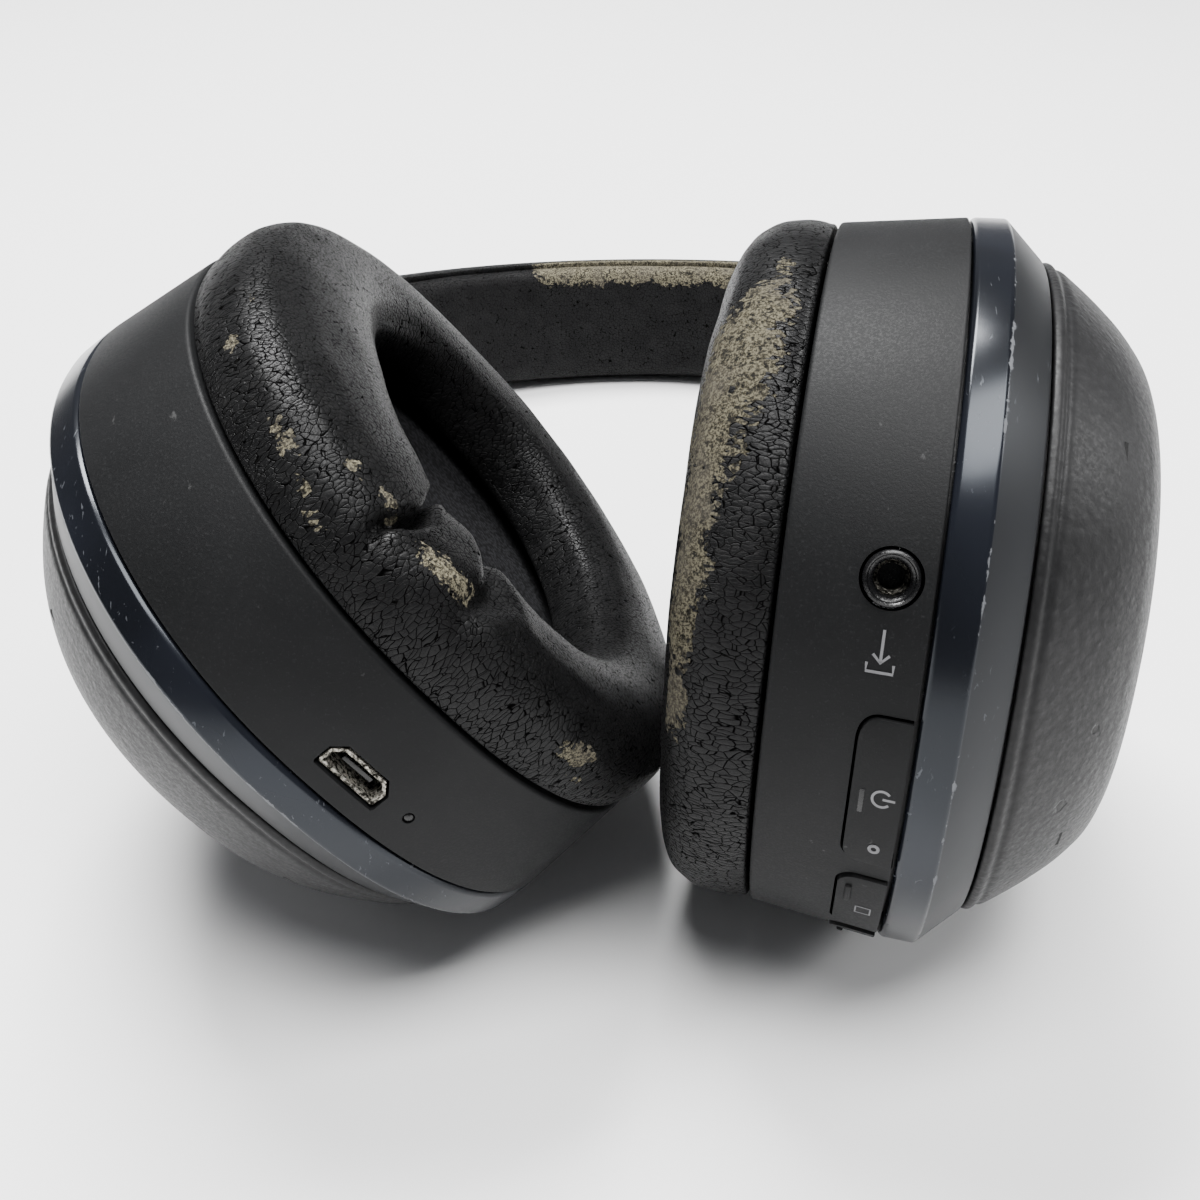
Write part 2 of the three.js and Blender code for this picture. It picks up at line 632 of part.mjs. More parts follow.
// A station on the right-hand half of the band's centre line, in head axes: the turn of the
// band from its top, then any straight length past the last turn
function bandStation(turn, straight = 0) {
  const side = Math.sign(turn) || 1;
  const angle = Math.abs(turn);
  const inArch = Math.min(angle, ARCH_TURN);
  let x = BAND_RADIUS * Math.sin(inArch);
  let y = BAND_RADIUS * Math.cos(inArch) - BAND_INNER_RADIUS;
  if (angle > ARCH_TURN) {
    x += SHOULDER_RADIUS * (Math.sin(angle) - Math.sin(ARCH_TURN));
    y += SHOULDER_RADIUS * (Math.cos(angle) - Math.cos(ARCH_TURN));
  }
  x += straight * Math.cos(angle);
  y -= straight * Math.sin(angle);
  return { x: side * x, y, outX: side * Math.sin(angle), outY: Math.cos(angle) };
}

// A run of stations between two turns
function bandRun(from, to, steps) {
  return Array.from({ length: steps + 1 }, (_, i) => bandStation(from + ((to - from) * i) / steps));
}

// Sweeps a section of (out, front) pairs along stations
function sweep(section, stations) {
  const rings = stations.map(({ x, y, outX, outY }) =>
    section.map(([out, front]) => new THREE.Vector3(x + out * outX, y + out * outY, front)));
  return skin(rings, section.map(([out, front]) => new THREE.Vector2(out, front)));
}

// A rounded rectangle section from one height to another
function roundedSection(low, high, halfWide, lowRadius, highRadius, steps = 2) {
  const corners = [
    [high - highRadius, halfWide - highRadius, highRadius, 0],
    [low + lowRadius, halfWide - lowRadius, lowRadius, 1],
    [low + lowRadius, -halfWide + lowRadius, lowRadius, 2],
    [high - highRadius, -halfWide + highRadius, highRadius, 3],
  ];
  return corners.flatMap(([out, front, radius, quarter]) =>
    Array.from({ length: steps + 1 }, (_, i) => {
      const angle = (quarter + i / steps) * (Math.PI / 2);
      return [out + radius * Math.cos(angle), front + radius * Math.sin(angle)];
    }));
}

// Heights in the band's section are measured outward from its centre line.
const BAND_STEPS = 22;
const SHELL_LIP = 1.3;
const SHELL_INNER = 0.7;
const LIP_FOOT = -0.5;
const CUSHION_TOP = -0.8;
const SPRING_LOW = -0.4;
const SPRING_HIGH = 0.3;
const SPRING_HALF_WIDE = 9;
const SLEEVE_LOW = -6;
const SLEEVE_HIGH = 6.3;
const EDGE_RADIUS = 3.2;            // rounding of the cushion and the sleeves

// The leather covered outer half: a rounded back with a lip down each edge
function bandShell() {
  const rounded = roundedSection(SHELL_INNER, BAND_HALF_THICK, BAND_HALF_WIDE, 0.3, 3);
  const inner = BAND_HALF_WIDE - SHELL_LIP;
  const back = rounded.slice(9).concat(rounded.slice(0, 3));
  const section = [
    ...back,
    [LIP_FOOT, BAND_HALF_WIDE],
    [LIP_FOOT, inner],
    [SHELL_INNER, inner],
    [SHELL_INNER, -inner],
    [LIP_FOOT, -inner],
    [LIP_FOOT, -BAND_HALF_WIDE],
  ];
  return sweep(section, bandRun(-SLEEVE_TURN, SLEEVE_TURN, BAND_STEPS));
}

function bandCushion() {
  const section = roundedSection(
    -BAND_HALF_THICK, CUSHION_TOP, BAND_HALF_WIDE - 0.1, EDGE_RADIUS, 0.6,
  );
  return sweep(section, bandRun(-SLEEVE_TURN, SLEEVE_TURN, BAND_STEPS));
}

function bandSpring() {
  const section = [
    [SPRING_LOW, -SPRING_HALF_WIDE],
    [SPRING_HIGH, -SPRING_HALF_WIDE],
    [SPRING_HIGH, SPRING_HALF_WIDE],
    [SPRING_LOW, SPRING_HALF_WIDE],
  ];
  const turn = SLEEVE_TURN + 0.05;
  return sweep(section, bandRun(-turn, turn, BAND_STEPS));
}

function sleeveRun(from, straight) {
  return [...bandRun(from, STRAIGHT_TURN, 7), bandStation(STRAIGHT_TURN, straight)];
}

// Hollow end sleeve that the slider strip runs in
function endSleeve() {
  const start = SLEEVE_TURN + GAP / SHOULDER_RADIUS + 0.005;
  const outside = sweep(
    roundedSection(SLEEVE_LOW, SLEEVE_HIGH, BAND_HALF_WIDE + 0.4, EDGE_RADIUS, EDGE_RADIUS),
    sleeveRun(start, SLEEVE_STRAIGHT),
  );
  const hollow = sweep(roundedSection(-2.2, 4.4, 9.6, 0.5, 0.5, 1),
    sleeveRun(start - 0.1, SLEEVE_STRAIGHT - 2.5));
  const mouth = sweep(roundedSection(-1.3, 1.3, STRIP_HALF_WIDE + 0.6, 0.3, 0.3, 1),
    [bandStation(STRAIGHT_TURN, 0), bandStation(STRAIGHT_TURN, SLEEVE_STRAIGHT + 2)]);
  return toGeometry(cut(outside, hollow, mouth));
}

// Small spring clip inside the sleeve that clicks into the strip's notches
function detentClip() {
  const stations = [bandStation(STRAIGHT_TURN, 0.2), bandStation(STRAIGHT_TURN, 3.6)];
  return sweep([[-1.9, 6.7], [1.6, 6.7], [1.6, 9.1], [-1.9, 9.1]], stations);
}

// ---------------------------------------------------------------- assembly
function side(name, swivelAngle) {
  const mirror = new THREE.Group();
  if (name === 'right') mirror.scale.x = -1;

  mirror.add(mesh(`end_sleeve_${name}`, endSleeve(), DARK_PLASTIC()));
  mirror.add(mesh(`detent_clip_${name}`, detentClip(), STEEL()));

  const arm = new THREE.Group();
  arm.name = `fold_${name}`;
  const hinge = bandStation(STRAIGHT_TURN, HINGE_BELOW);
  arm.position.set(hinge.x, hinge.y, 0);
  arm.rotation.z = -ARM_LEAN;
  mirror.add(arm);
  arm.add(mesh(`slider_strip_${name}`, sliderStrip(), STEEL()));
  const rivet = bar('x', RIVET_RADIUS, -BLOCK_HALF_THICK, BLOCK_HALF_THICK, 16);
  arm.add(mesh(`strip_rivet_${name}`, shifted(rivet, 0, RIVET_HEIGHT, 0), STEEL()));
  arm.add(mesh(`hinge_block_${name}`, hingeBlock(), DARK_PLASTIC()));
  const hingePin = bar('z', HINGE_PIN_RADIUS, -BLOCK_HALF_WIDE + 0.2, BLOCK_HALF_WIDE - 0.2);
  arm.add(mesh(`hinge_pin_${name}`, hingePin, STEEL()));
  arm.add(mesh(`fold_arm_${name}`, foldArm(), DARK_PLASTIC()));
  const swivelPin = bar('x', SWIVEL_PIN_RADIUS, -SWIVEL_PIN_LENGTH / 2, SWIVEL_PIN_LENGTH / 2, 12);
  swivelPin.translate(0, SWIVEL_PIN_HEIGHT, SWIVEL_PIN_FRONT);
  arm.add(mesh(`swivel_pin_${name}`, swivelPin, STEEL()));
  arm.add(mesh(`swivel_washer_${name}`, swivelWasher(), STEEL()));

  const swivel = new THREE.Group();
  swivel.name = `swivel_${name}`;
  swivel.rotation.y = swivelAngle;
  arm.add(swivel);
  swivel.add(mesh(`yoke_${name}`, yoke(), DARK_PLASTIC()));

  const tilt = new THREE.Group();
  tilt.name = `tilt_${name}`;
  tilt.position.y = PIVOT_HEIGHT;
  tilt.rotation.z = -CUP_TILT;
  swivel.add(tilt);

  const body = cup(name);
  body.name = `cup_${name}`;
  body.position.set(-PIN_DEPTH, -PIN_ABOVE_CENTRE, 0);
  tilt.add(body);
  return mirror;
}

const headphones = new THREE.Group();
const lying = new THREE.Group();
const rolled = new THREE.Group();
lying.rotation.x = LIE_PITCH;
lying.position.copy(LIE_OFFSET);
rolled.rotation.y = LIE_ROLL;
headphones.add(lying);
lying.add(rolled);

rolled.add(mesh('band_shell', bandShell(), LEATHER()));
rolled.add(mesh('band_cushion', bandCushion(), LEATHER()));
rolled.add(mesh('band_spring', bandSpring(), STEEL()));
rolled.add(side('left', SWIVEL_LEFT));
rolled.add(side('right', SWIVEL_RIGHT));

export default headphones;
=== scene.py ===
import json
import math

import bmesh
import bpy
import numpy as np
from mathutils import Matrix, Vector, noise


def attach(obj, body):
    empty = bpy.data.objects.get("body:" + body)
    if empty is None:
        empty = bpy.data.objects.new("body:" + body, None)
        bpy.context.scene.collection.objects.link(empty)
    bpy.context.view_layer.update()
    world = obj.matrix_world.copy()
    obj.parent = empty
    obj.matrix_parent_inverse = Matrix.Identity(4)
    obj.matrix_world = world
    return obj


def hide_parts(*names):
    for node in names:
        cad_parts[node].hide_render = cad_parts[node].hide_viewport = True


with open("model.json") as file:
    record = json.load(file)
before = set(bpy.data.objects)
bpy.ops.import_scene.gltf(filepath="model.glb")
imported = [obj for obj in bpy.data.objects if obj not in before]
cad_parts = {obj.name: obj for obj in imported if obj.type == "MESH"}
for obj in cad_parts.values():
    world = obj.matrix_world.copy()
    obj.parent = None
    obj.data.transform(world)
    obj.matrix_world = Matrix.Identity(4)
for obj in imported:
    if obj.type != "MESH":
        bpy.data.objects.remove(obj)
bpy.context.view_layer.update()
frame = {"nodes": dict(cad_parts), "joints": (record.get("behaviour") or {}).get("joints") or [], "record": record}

# ---- sizes, in metres
MM = 0.001
CUP_FRONT = 42.5 * MM
CUP_TALL = 45.0 * MM
CUP_POWER = 2.24
HOUSING_START, HOUSING_END = 0.3 * MM, 15.1 * MM
HOUSING_START_INSET, HOUSING_END_INSET = 2.0 * MM, 0.2 * MM
RING_START, RING_WIDEST, RING_END = 15.4 * MM, 19.4 * MM, 24.0 * MM
RING_END_INSET = 4.3 * MM
COVER_START, COVER_END = 24.3 * MM, 38.4 * MM
WALL = 2.0 * MM
PAD_DEPTH = 12.2 * MM
PAD_BASE = -0.1 * MM
EAR_FRONT, EAR_TALL = 21.5 * MM, 27.0 * MM
FLANGE_DEPTH, FLANGE_INSET = 1.9 * MM, 9 * MM

BAND_INNER_RADIUS = 67.4 * MM
BAND_HALF_THICK = 5.5 * MM
BAND_HALF_WIDE = 12.6 * MM
ARCH_TURN = math.radians(45)
ARM_LEAN = math.radians(17.6)
SHOULDER_RADIUS = 31.05 * MM
SLEEVE_TURN = math.radians(76)
HINGE_BELOW = 28.1 * MM

BUTTON_TURNS = {
    "power_button": (250, 271.5),
    "noise_button": (227, 246),
    "ambient_button": (204, 223),
}
BUTTON_START, BUTTON_END = 9.8 * MM, 14.9 * MM
BUTTON_CORNER = 1.9 * MM
JACK_TURN, USB_TURN, LIGHT_TURN = 289, 269, 259.5
SOCKET_DEPTH = 10.9 * MM

JOINTS = {joint["name"]: joint for joint in frame["joints"]}
MOUNTS = {mount["name"]: mount for mount in frame["record"]["mounts"]}
SIDES = ("left", "right")


# ---- axes of the parts
def axes(x, y, z, origin):
    matrix = Matrix((x, y, z)).transposed().to_4x4()
    matrix.translation = origin
    return matrix


def cup_axes(side):
    """X outward from the head, Y along the arm towards the band, Z to the wearer's front."""
    mount = MOUNTS[f"{side}_cover_face"]
    hand = 1 if side == "left" else -1
    out = Vector(mount["axis"])
    front = hand * Vector(JOINTS[f"tilt_{side}"]["axis"])
    up = hand * front.cross(out)
    return axes(out, up, front, Vector(mount["pos_m"]) - COVER_END * out)


def band_station(turn, straight=0.0):
    """A place on the band's centre line, in head axes, and the direction outward from it."""
    side = -1 if turn < 0 else 1
    angle = abs(turn)
    radius = BAND_INNER_RADIUS + BAND_HALF_THICK
    arch = min(angle, ARCH_TURN)
    x = radius * math.sin(arch)
    y = radius * math.cos(arch) - BAND_INNER_RADIUS
    if angle > ARCH_TURN:
        x += SHOULDER_RADIUS * (math.sin(angle) - math.sin(ARCH_TURN))
        y += SHOULDER_RADIUS * (math.cos(angle) - math.cos(ARCH_TURN))
    x += straight * math.cos(angle)
    y -= straight * math.sin(angle)
    return Vector((side * x, y, 0)), Vector((side * math.sin(angle), math.cos(angle), 0))


def head_axes():
    """X to the wearer's left, Y towards the band, Z to the front, from the arch's inner top."""
    left = Vector(JOINTS["fold_left"]["pos_m"])
    right = Vector(JOINTS["fold_right"]["pos_m"])
    x = (left - right).normalized()
    z = Vector(JOINTS["fold_left"]["axis"])
    y = z.cross(x)
    hinge, _ = band_station(math.pi / 2 + ARM_LEAN, HINGE_BELOW)
    return axes(x, y, z, (left + right) / 2 - hinge.y * y)


CUPS = {side: cup_axes(side) for side in SIDES}
HEAD = head_axes()


# ---- camera
CAMERA_SENSOR = 36
CAMERA_LENS = 44.1
CAMERA_RIGHT = Vector((0.9968, 0.0800, -0.0047))
CAMERA_UP = Vector((-0.0261, 0.3805, 0.9244))
CAMERA_BACK = Vector((0.0757, -0.9213, 0.3814))
CAMERA_PLACE = Vector((11.7, -315.4, 66.0)) * MM


def new_object(name, data):
    made = bpy.data.objects.new(name, data)
    bpy.context.scene.collection.objects.link(made)
    return made


def camera():
    """Just beyond the cups' free ends and a little in front, looking back at the headband."""
    data = bpy.data.cameras.new("camera")
    data.sensor_width = CAMERA_SENSOR
    data.lens = CAMERA_LENS
    data.clip_start = 10 * MM
    eye = new_object("camera", data)
    eye.matrix_world = HEAD @ axes(CAMERA_RIGHT, CAMERA_UP, CAMERA_BACK, CAMERA_PLACE)
    bpy.context.scene.camera = eye


camera()


# ---- mesh helpers
def set_values(data, name, numbers):
    layer = data.attributes.new(name, "FLOAT", "POINT")
    layer.data.foreach_set("value", np.asarray(numbers, np.float32))


def new_piece(name, points, faces, matrix, values=None, solid=True):
    """A mesh piece from points in a part's own axes, with a number per point for each name."""
    if matrix.determinant() < 0:
        faces = [tuple(reversed(face)) for face in faces]
    data = bpy.data.meshes.new(name)
    world = [matrix @ Vector(point) for point in points]
    data.from_pydata(world, [], faces)
    for key, numbers in (values or {}).items():
        set_values(data, key, numbers)
    data.validate()
    piece = new_object(name, data)
    if solid:
        face_out(piece)
    return piece


def points_of(piece):
    return np.array([v.co for v in piece.data.vertices])


def normals_of(piece):
    return np.array([v.normal for v in piece.data.vertices])


def move_points(piece, points):
    piece.data.vertices.foreach_set("co", points.astype(np.float32).ravel())
    piece.data.update()


def seen_from(matrix, points):
    """World points in a part's own axes, in millimetres."""
    inverse = matrix.inverted()
    return np.array([inverse @ Vector(point) for point in points]) / MM


def smooth(piece, angle=35):
    piece.data.shade_smooth()
    piece.data.set_sharp_from_angle(angle=math.radians(angle))


def modify(piece, kind, **settings):
    """Applies a modifier to a piece."""
    modifier = piece.modifiers.new(kind, kind)
    for key, value in settings.items():
        setattr(modifier, key, value)
    apply_modifiers(piece)


def apply_modifiers(piece):
    graph = bpy.context.evaluated_depsgraph_get()
    data = bpy.data.meshes.new_from_object(piece.evaluated_get(graph))
    old = piece.data
    piece.modifiers.clear()
    piece.data = data
    bpy.data.meshes.remove(old)


def face_out(piece):
    mesh = bmesh.new()
    mesh.from_mesh(piece.data)
    bmesh.ops.recalc_face_normals(mesh, faces=mesh.faces)
    mesh.to_mesh(piece.data)
    mesh.free()


def grid_faces(rings, count, closed):
    """Faces between rings of count points each, where a closed run joins the last ring to the first."""
    faces = []
    for i in range(rings if closed else rings - 1):
        here = i * count
        there = ((i + 1) % rings) * count
        for j in range(count):
            k = (j + 1) % count
            faces.append((here + j, there + j, there + k, here + k))
    return faces


def tube_faces(rings, count):
    """Faces of an open run of rings, with a face across each end."""
    last = (rings - 1) * count
    ends = [tuple(range(count)), tuple(last + count - 1 - j for j in range(count))]
    return grid_faces(rings, count, False) + ends


def soften(value):
    return math.copysign(abs(value) ** (2 / CUP_POWER), value)


def oval_point(turn, depth, front, tall):
    return (depth, tall * soften(math.sin(turn)), front * soften(math.cos(turn)))


def round_profile(corners, closed, steps=4):
    """(depth, front, tall, radius) corners, each turned into a small arc of its radius."""
    corners = [np.array(corner, float) for corner in corners]
    count = len(corners)
    result = []
    for i, corner in enumerate(corners):
        radius = corner[3]
        inner = closed or 0 < i < count - 1
        if radius == 0 or not inner:
            result.append(corner[:3])
            continue
        before = corners[i - 1][:3] - corner[:3]
        after = corners[(i + 1) % count][:3] - corner[:3]
        start = corner[:3] + before * min(0.5, radius / np.linalg.norm(before[:2]))
        end = corner[:3] + after * min(0.5, radius / np.linalg.norm(after[:2]))
        for step in range(steps + 1):
            t = step / steps
            result.append((1 - t) ** 2 * start + 2 * t * (1 - t) * corner[:3] + t * t * end)
    return result


def evenly(points, spacing):
    """A closed run of points with more added where they are further apart than spacing."""
    points = [np.array(point, float) for point in points]
    result = []
    for here, after in zip(points, points[1:] + points[:1]):
        count = max(1, math.ceil(np.linalg.norm((after - here)[:2]) / spacing))
        result += [here + (after - here) * i / count for i in range(count)]
    return result


def level(depth, inset, radius=0.0):
    return (depth, CUP_FRONT - inset, CUP_TALL - inset, radius)


def skin_point(turn, depth, inset):
    return oval_point(turn, depth, CUP_FRONT - inset, CUP_TALL - inset)


def oval_points(profile, steps):
    turns = [2 * math.pi * (j + 0.5) / steps for j in range(steps)]
    return [oval_point(turn, *entry) for entry in profile for turn in turns]


def oval_piece(name, side, corners, closed=True, steps=160, arc_steps=4, spacing=None):
    """A piece turned to the cup's oval outline from a profile of rounded corners."""
    profile = round_profile(corners, closed, arc_steps)
    if spacing:
        profile = evenly(profile, spacing)
    rings = len(profile)
    faces = grid_faces(rings, steps, True) if closed else tube_faces(rings, steps)
    depth = [entry[0] / MM for entry in profile for _ in range(steps)]
    piece = new_piece(name, oval_points(profile, steps), faces, CUPS[side], {"depth": depth})
    smooth(piece)
    return piece


def housing_inset(depth):
    share = (depth - HOUSING_START) / (HOUSING_END - HOUSING_START)
    return HOUSING_START_INSET + share * (HOUSING_END_INSET - HOUSING_START_INSET)


def wall_axes(side, degrees, depth):
    """A frame on the housing wall: X outward from the head, Y out of the wall, Z along it."""
    turn = math.radians(degrees)
    inset = housing_inset(depth)
    front, tall = CUP_FRONT - inset, CUP_TALL - inset
    point = Vector(skin_point(turn, depth, inset))

    def slope(value, half):
        return math.copysign(abs(value / half) ** (CUP_POWER - 1), value) / half

    out = Vector((0, slope(point.y, tall), slope(point.z, front))).normalized()
    along = Vector((1, 0, 0))
    return CUPS[side] @ axes(along, out, along.cross(out), point)


def wall_patch(name, side, turns, depths, heights, corner_radius, steps=36):
    """A block that follows the housing wall, rounded at its two corners nearest the pad.

    Heights are below the wall's outer face."""
    (start, end), (outer, inner) = depths, heights
    length = CUP_TALL * math.radians(turns[1] - turns[0])

    def corner(turn, depth, sink):
        return skin_point(turn, depth, housing_inset(depth) + sink)

    points = []
    for i in range(steps + 1):
        share = (1 - math.cos(math.pi * i / steps)) / 2
        turn = math.radians(turns[0] + (turns[1] - turns[0]) * share)
        short = max(0.0, corner_radius - length * min(share, 1 - share))
        first = start + corner_radius - math.sqrt(corner_radius ** 2 - short ** 2)
        points += [corner(turn, first, outer), corner(turn, end, outer)]
        points += [corner(turn, end, inner), corner(turn, first, inner)]
    return new_piece(name, points, tube_faces(steps + 1, 4), CUPS[side])


def bevel(piece, width, segments=2, angle=40):
    """Rounds a piece's edges. The width is in millimetres."""
    modify(piece, "BEVEL", width=width * MM, segments=segments, limit_method="ANGLE",
           angle_limit=math.radians(angle), use_clamp_overlap=True)
    smooth(piece)


def carve(piece, cutters):
    """Cuts pieces out of a piece and removes them."""
    for cutter in cutters:
        modify(piece, "BOOLEAN", object=cutter, operation="DIFFERENCE", solver="EXACT")
        bpy.data.objects.remove(cutter)
    smooth(piece)


def turned_piece(name, matrix, profile, steps=48):
    """A piece turned round the Y axis from a closed run of (radius, height) pairs in millimetres."""
    points = []
    for radius, height in profile:
        for j in range(steps):
            turn = 2 * math.pi * j / steps
            points.append((radius * MM * math.cos(turn), height * MM, radius * MM * math.sin(turn)))
    piece = new_piece(name, points, grid_faces(len(profile), steps, True), matrix)
    smooth(piece, 30)
    return piece


def block(name, matrix, low, high):
    """A box between two corners given in millimetres."""
    spans = [(a * MM, b * MM) for a, b in zip(low, high)]
    corners = [(x, y, z) for x in spans[0] for y in spans[1] for z in spans[2]]
    faces = [(0, 1, 3, 2), (4, 6, 7, 5), (0, 4, 5, 1), (2, 3, 7, 6), (0, 2, 6, 4), (1, 5, 7, 3)]
    return new_piece(name, corners, faces, matrix)


def refined(name, node, width, segments=2):
    """A CAD node's shape with its edges rounded, which stands for the node."""
    data = frame["nodes"][node].data.copy()
    piece = new_object(name, data)
    data.materials.clear()
    mesh = bmesh.new()
    mesh.from_mesh(data)
    bmesh.ops.remove_doubles(mesh, verts=mesh.verts, dist=0.001 * MM)
    bmesh.ops.dissolve_limit(mesh, angle_limit=math.radians(1), verts=mesh.verts, edges=mesh.edges)
    mesh.to_mesh(data)
    mesh.free()
    bevel(piece, width, segments)
    modify(piece, "WEIGHTED_NORMAL", keep_sharp=True)
    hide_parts(node)
    return piece


# ---- materials
class Look:
    """A procedural material. It is placed by the model's own frame, and its sizes are in millimetres."""

    def __init__(self, name):
        self.material = bpy.data.materials.new(name)
        self.material.use_nodes = True
        self.tree = self.material.node_tree
        self.shader = self.tree.nodes["Principled BSDF"]
        self.place = self.node("ShaderNodeTexCoord").outputs["Object"]

    def node(self, kind, inputs=None, **settings):
        made = self.tree.nodes.new(kind)
        for key, value in settings.items():
            setattr(made, key, value)
        for key, value in (inputs or {}).items():
            self.put(made.inputs[key], value)
        return made

    def put(self, socket, value):
        if isinstance(value, bpy.types.NodeSocket):
            self.tree.links.new(value, socket)
        else:
            socket.default_value = value

    def set(self, **values):
        for key, value in values.items():
            self.put(self.shader.inputs[key.replace("_", " ")], value)
        return self.material

    def math(self, operation, a, b=0.0):
        return self.node("ShaderNodeMath", {0: a, 1: b}, operation=operation).outputs[0]

    def times(self, a, b):
        return self.math("MULTIPLY", a, b)

    def plus(self, a, b):
        return self.math("ADD", a, b)

    def minus(self, a, b):
        return self.math("SUBTRACT", a, b)

    def vector(self, operation, a, b):
        second = "Scale" if operation == "SCALE" else 1
        return self.node("ShaderNodeVectorMath", {0: a, second: b}, operation=operation).outputs[0]

    def ramp(self, value, low, high, start=0.0, end=1.0):
        """value between low and high, turned smoothly into start to end."""
        made = self.node(
            "ShaderNodeMapRange",
            {"Value": value, "From Min": low, "From Max": high, "To Min": start, "To Max": end},
            interpolation_type="SMOOTHSTEP",
        )
        return made.outputs["Result"]

    def mix(self, share, a, b):
        """Colour a, turning into colour b as share goes from 0 to 1."""
        a, b = (tone if isinstance(tone, bpy.types.NodeSocket) else (*tone, 1) for tone in (a, b))
        return self.node("ShaderNodeMix", {"Factor": share, 6: a, 7: b}, data_type="RGBA").outputs[2]

    def blend(self, share, a, b):
        """Number a, turning into number b as share goes from 0 to 1."""
        return self.node("ShaderNodeMix", {"Factor": share, 2: a, 3: b}, data_type="FLOAT").outputs[0]

    def noise(self, size, detail=3.0, rough=0.5, where=None, twist=0.0):
        """Cloudy noise whose lumps are about size across."""
        made = self.node(
            "ShaderNodeTexNoise",
            {"Vector": where or self.place, "Scale": 1 / (size * MM), "Detail": detail, "Roughness": rough,
             "Distortion": twist},
        )
        return made.outputs["Fac"]

    def cells(self, size, feature="F1", where=None, output="Distance"):
        place = {"Vector": where or self.place, "Scale": 1 / (size * MM)}
        return self.node("ShaderNodeTexVoronoi", place, feature=feature).outputs[output]

    def stretched(self, x, y, z):
        return self.vector("MULTIPLY", self.place, (x, y, z))

    def warped(self, size, amount):
        """The coordinates pushed about by noise, so that cells don't look regular."""
        cloud = self.node("ShaderNodeTexNoise", {"Vector": self.place, "Scale": 1 / (size * MM)})
        centred = self.vector("SUBTRACT", cloud.outputs["Color"], (0.5, 0.5, 0.5))
        return self.vector("ADD", self.place, self.vector("SCALE", centred, amount * MM))

    def value(self, name):
        """The number that a piece's points carry under a name."""
        return self.node("ShaderNodeAttribute", attribute_name=name).outputs["Fac"]

    def bump(self, height, distance):
        inputs = {"Height": height, "Distance": distance * MM, "Strength": 1.0}
        return self.node("ShaderNodeBump", inputs).outputs["Normal"]


CRACK_STRETCH = 0.55


def leather_where(look, out):
    """Coordinates for cracks. Along out, a cup's axis, cracks near the pad's seam are drawn longer."""
    where = look.warped(4, 1.3)
    if out is None:
        return where
    pull = look.vector("SCALE", out, look.times(look.value("sink"), -CRACK_STRETCH))
    return look.vector("ADD", where, pull)


def cracked_skin(look, where, crack, gloss):
    """The colour, roughness and height of black leatherette with cracks about crack apart."""
    edge = look.cells(crack, "DISTANCE_TO_EDGE", where)
    cracks = look.ramp(edge, 0.0, 0.075)
    pillow = look.ramp(edge, 0.0, 0.4)
    small = look.ramp(look.cells(0.5 * crack, "DISTANCE_TO_EDGE", where), 0.0, 0.06)
    wear = look.ramp(look.noise(17, 2), 0.35, 0.65)
    height = look.plus(look.times(pillow, 0.18), look.times(cracks, 0.6))
    height = look.plus(height, look.times(small, look.ramp(wear, 0, 1, 0.1, 0.3)))
    height = look.plus(height, look.times(look.noise(0.3, 2, 0.6), 0.22))
    tone = look.ramp(look.noise(4, 3), 0.3, 0.75)
    top = look.mix(tone, (0.0028, 0.0028, 0.0030), (0.0065, 0.0065, 0.0067))
    lines = look.times(cracks, look.ramp(small, 0.0, 1.0, 0.7, 1.0))
    skin = look.mix(lines, (0.0006, 0.0006, 0.0006), top)
    dust = look.times(wear, look.ramp(look.noise(1.1, 3, 0.7), 0.5, 0.8, 0.0, 0.12))
    skin = look.mix(dust, skin, (0.045, 0.043, 0.039))
    look.set(Specular_IOR_Level=look.ramp(lines, 0.0, 1.0, 0.0, 0.135))
    return skin, look.ramp(lines, 0.0, 1.0, 0.8, gloss), height


def bare_knit(look, tone):
    """The colour and height of the beige knit that shows where the skin has peeled. tone scales the knit's pale
    colour, and a tone below 1 is painted shade.
    """
    weave = look.noise(0.3, 3, 0.8)
    thread = look.noise(0.8, 4, 0.75)
    pale = tuple(tone * c for c in (0.148, 0.134, 0.093))
    knit = look.mix(look.ramp(weave, 0.42, 0.58), (0.016, 0.0142, 0.0098), pale)
    knit = look.mix(look.ramp(thread, 0.51, 0.60, 0.0, 0.94), knit, (0.005, 0.0046, 0.004))
    stain = look.ramp(look.noise(6, 3), 0.42, 0.68, 0.0, 0.4)
    knit = look.mix(stain, knit, (0.055, 0.05, 0.042))
    return knit, look.times(look.plus(weave, thread), 0.4)


def worn_leather(name, crack=0.61, peel=True, gloss=0.40, out=None, painted_knit_shade=1.0):
    """Black leatherette, cracked all over, and peeled to a beige knit where the peel value is high. The last
    argument darkens the knit, and below 1 it is painted shade.
    """
    look = Look(name)
    where = leather_where(look, out)
    skin, rough, height = cracked_skin(look, where, crack, gloss)
    if not peel:
        return look.set(Base_Color=skin, Roughness=rough, Normal=look.bump(height, 0.1))
    chip = look.cells(0.8 * crack, "F1", where, "Color")
    chip = look.node("ShaderNodeSeparateColor", {"Color": chip}).outputs["Red"]
    ragged = look.plus(look.times(look.noise(4.5, 4, 0.65), 0.75), look.times(chip, 0.24))
    bare = look.ramp(look.plus(look.value("peel"), ragged), 0.97, 0.99)
    knit, knit_height = bare_knit(look, painted_knit_shade)
    layers = look.blend(bare, look.plus(height, 1.4), knit_height)
    return look.set(Base_Color=look.mix(bare, skin, knit), Roughness=look.blend(bare, rough, 0.95),
                    Normal=look.bump(layers, 0.14))


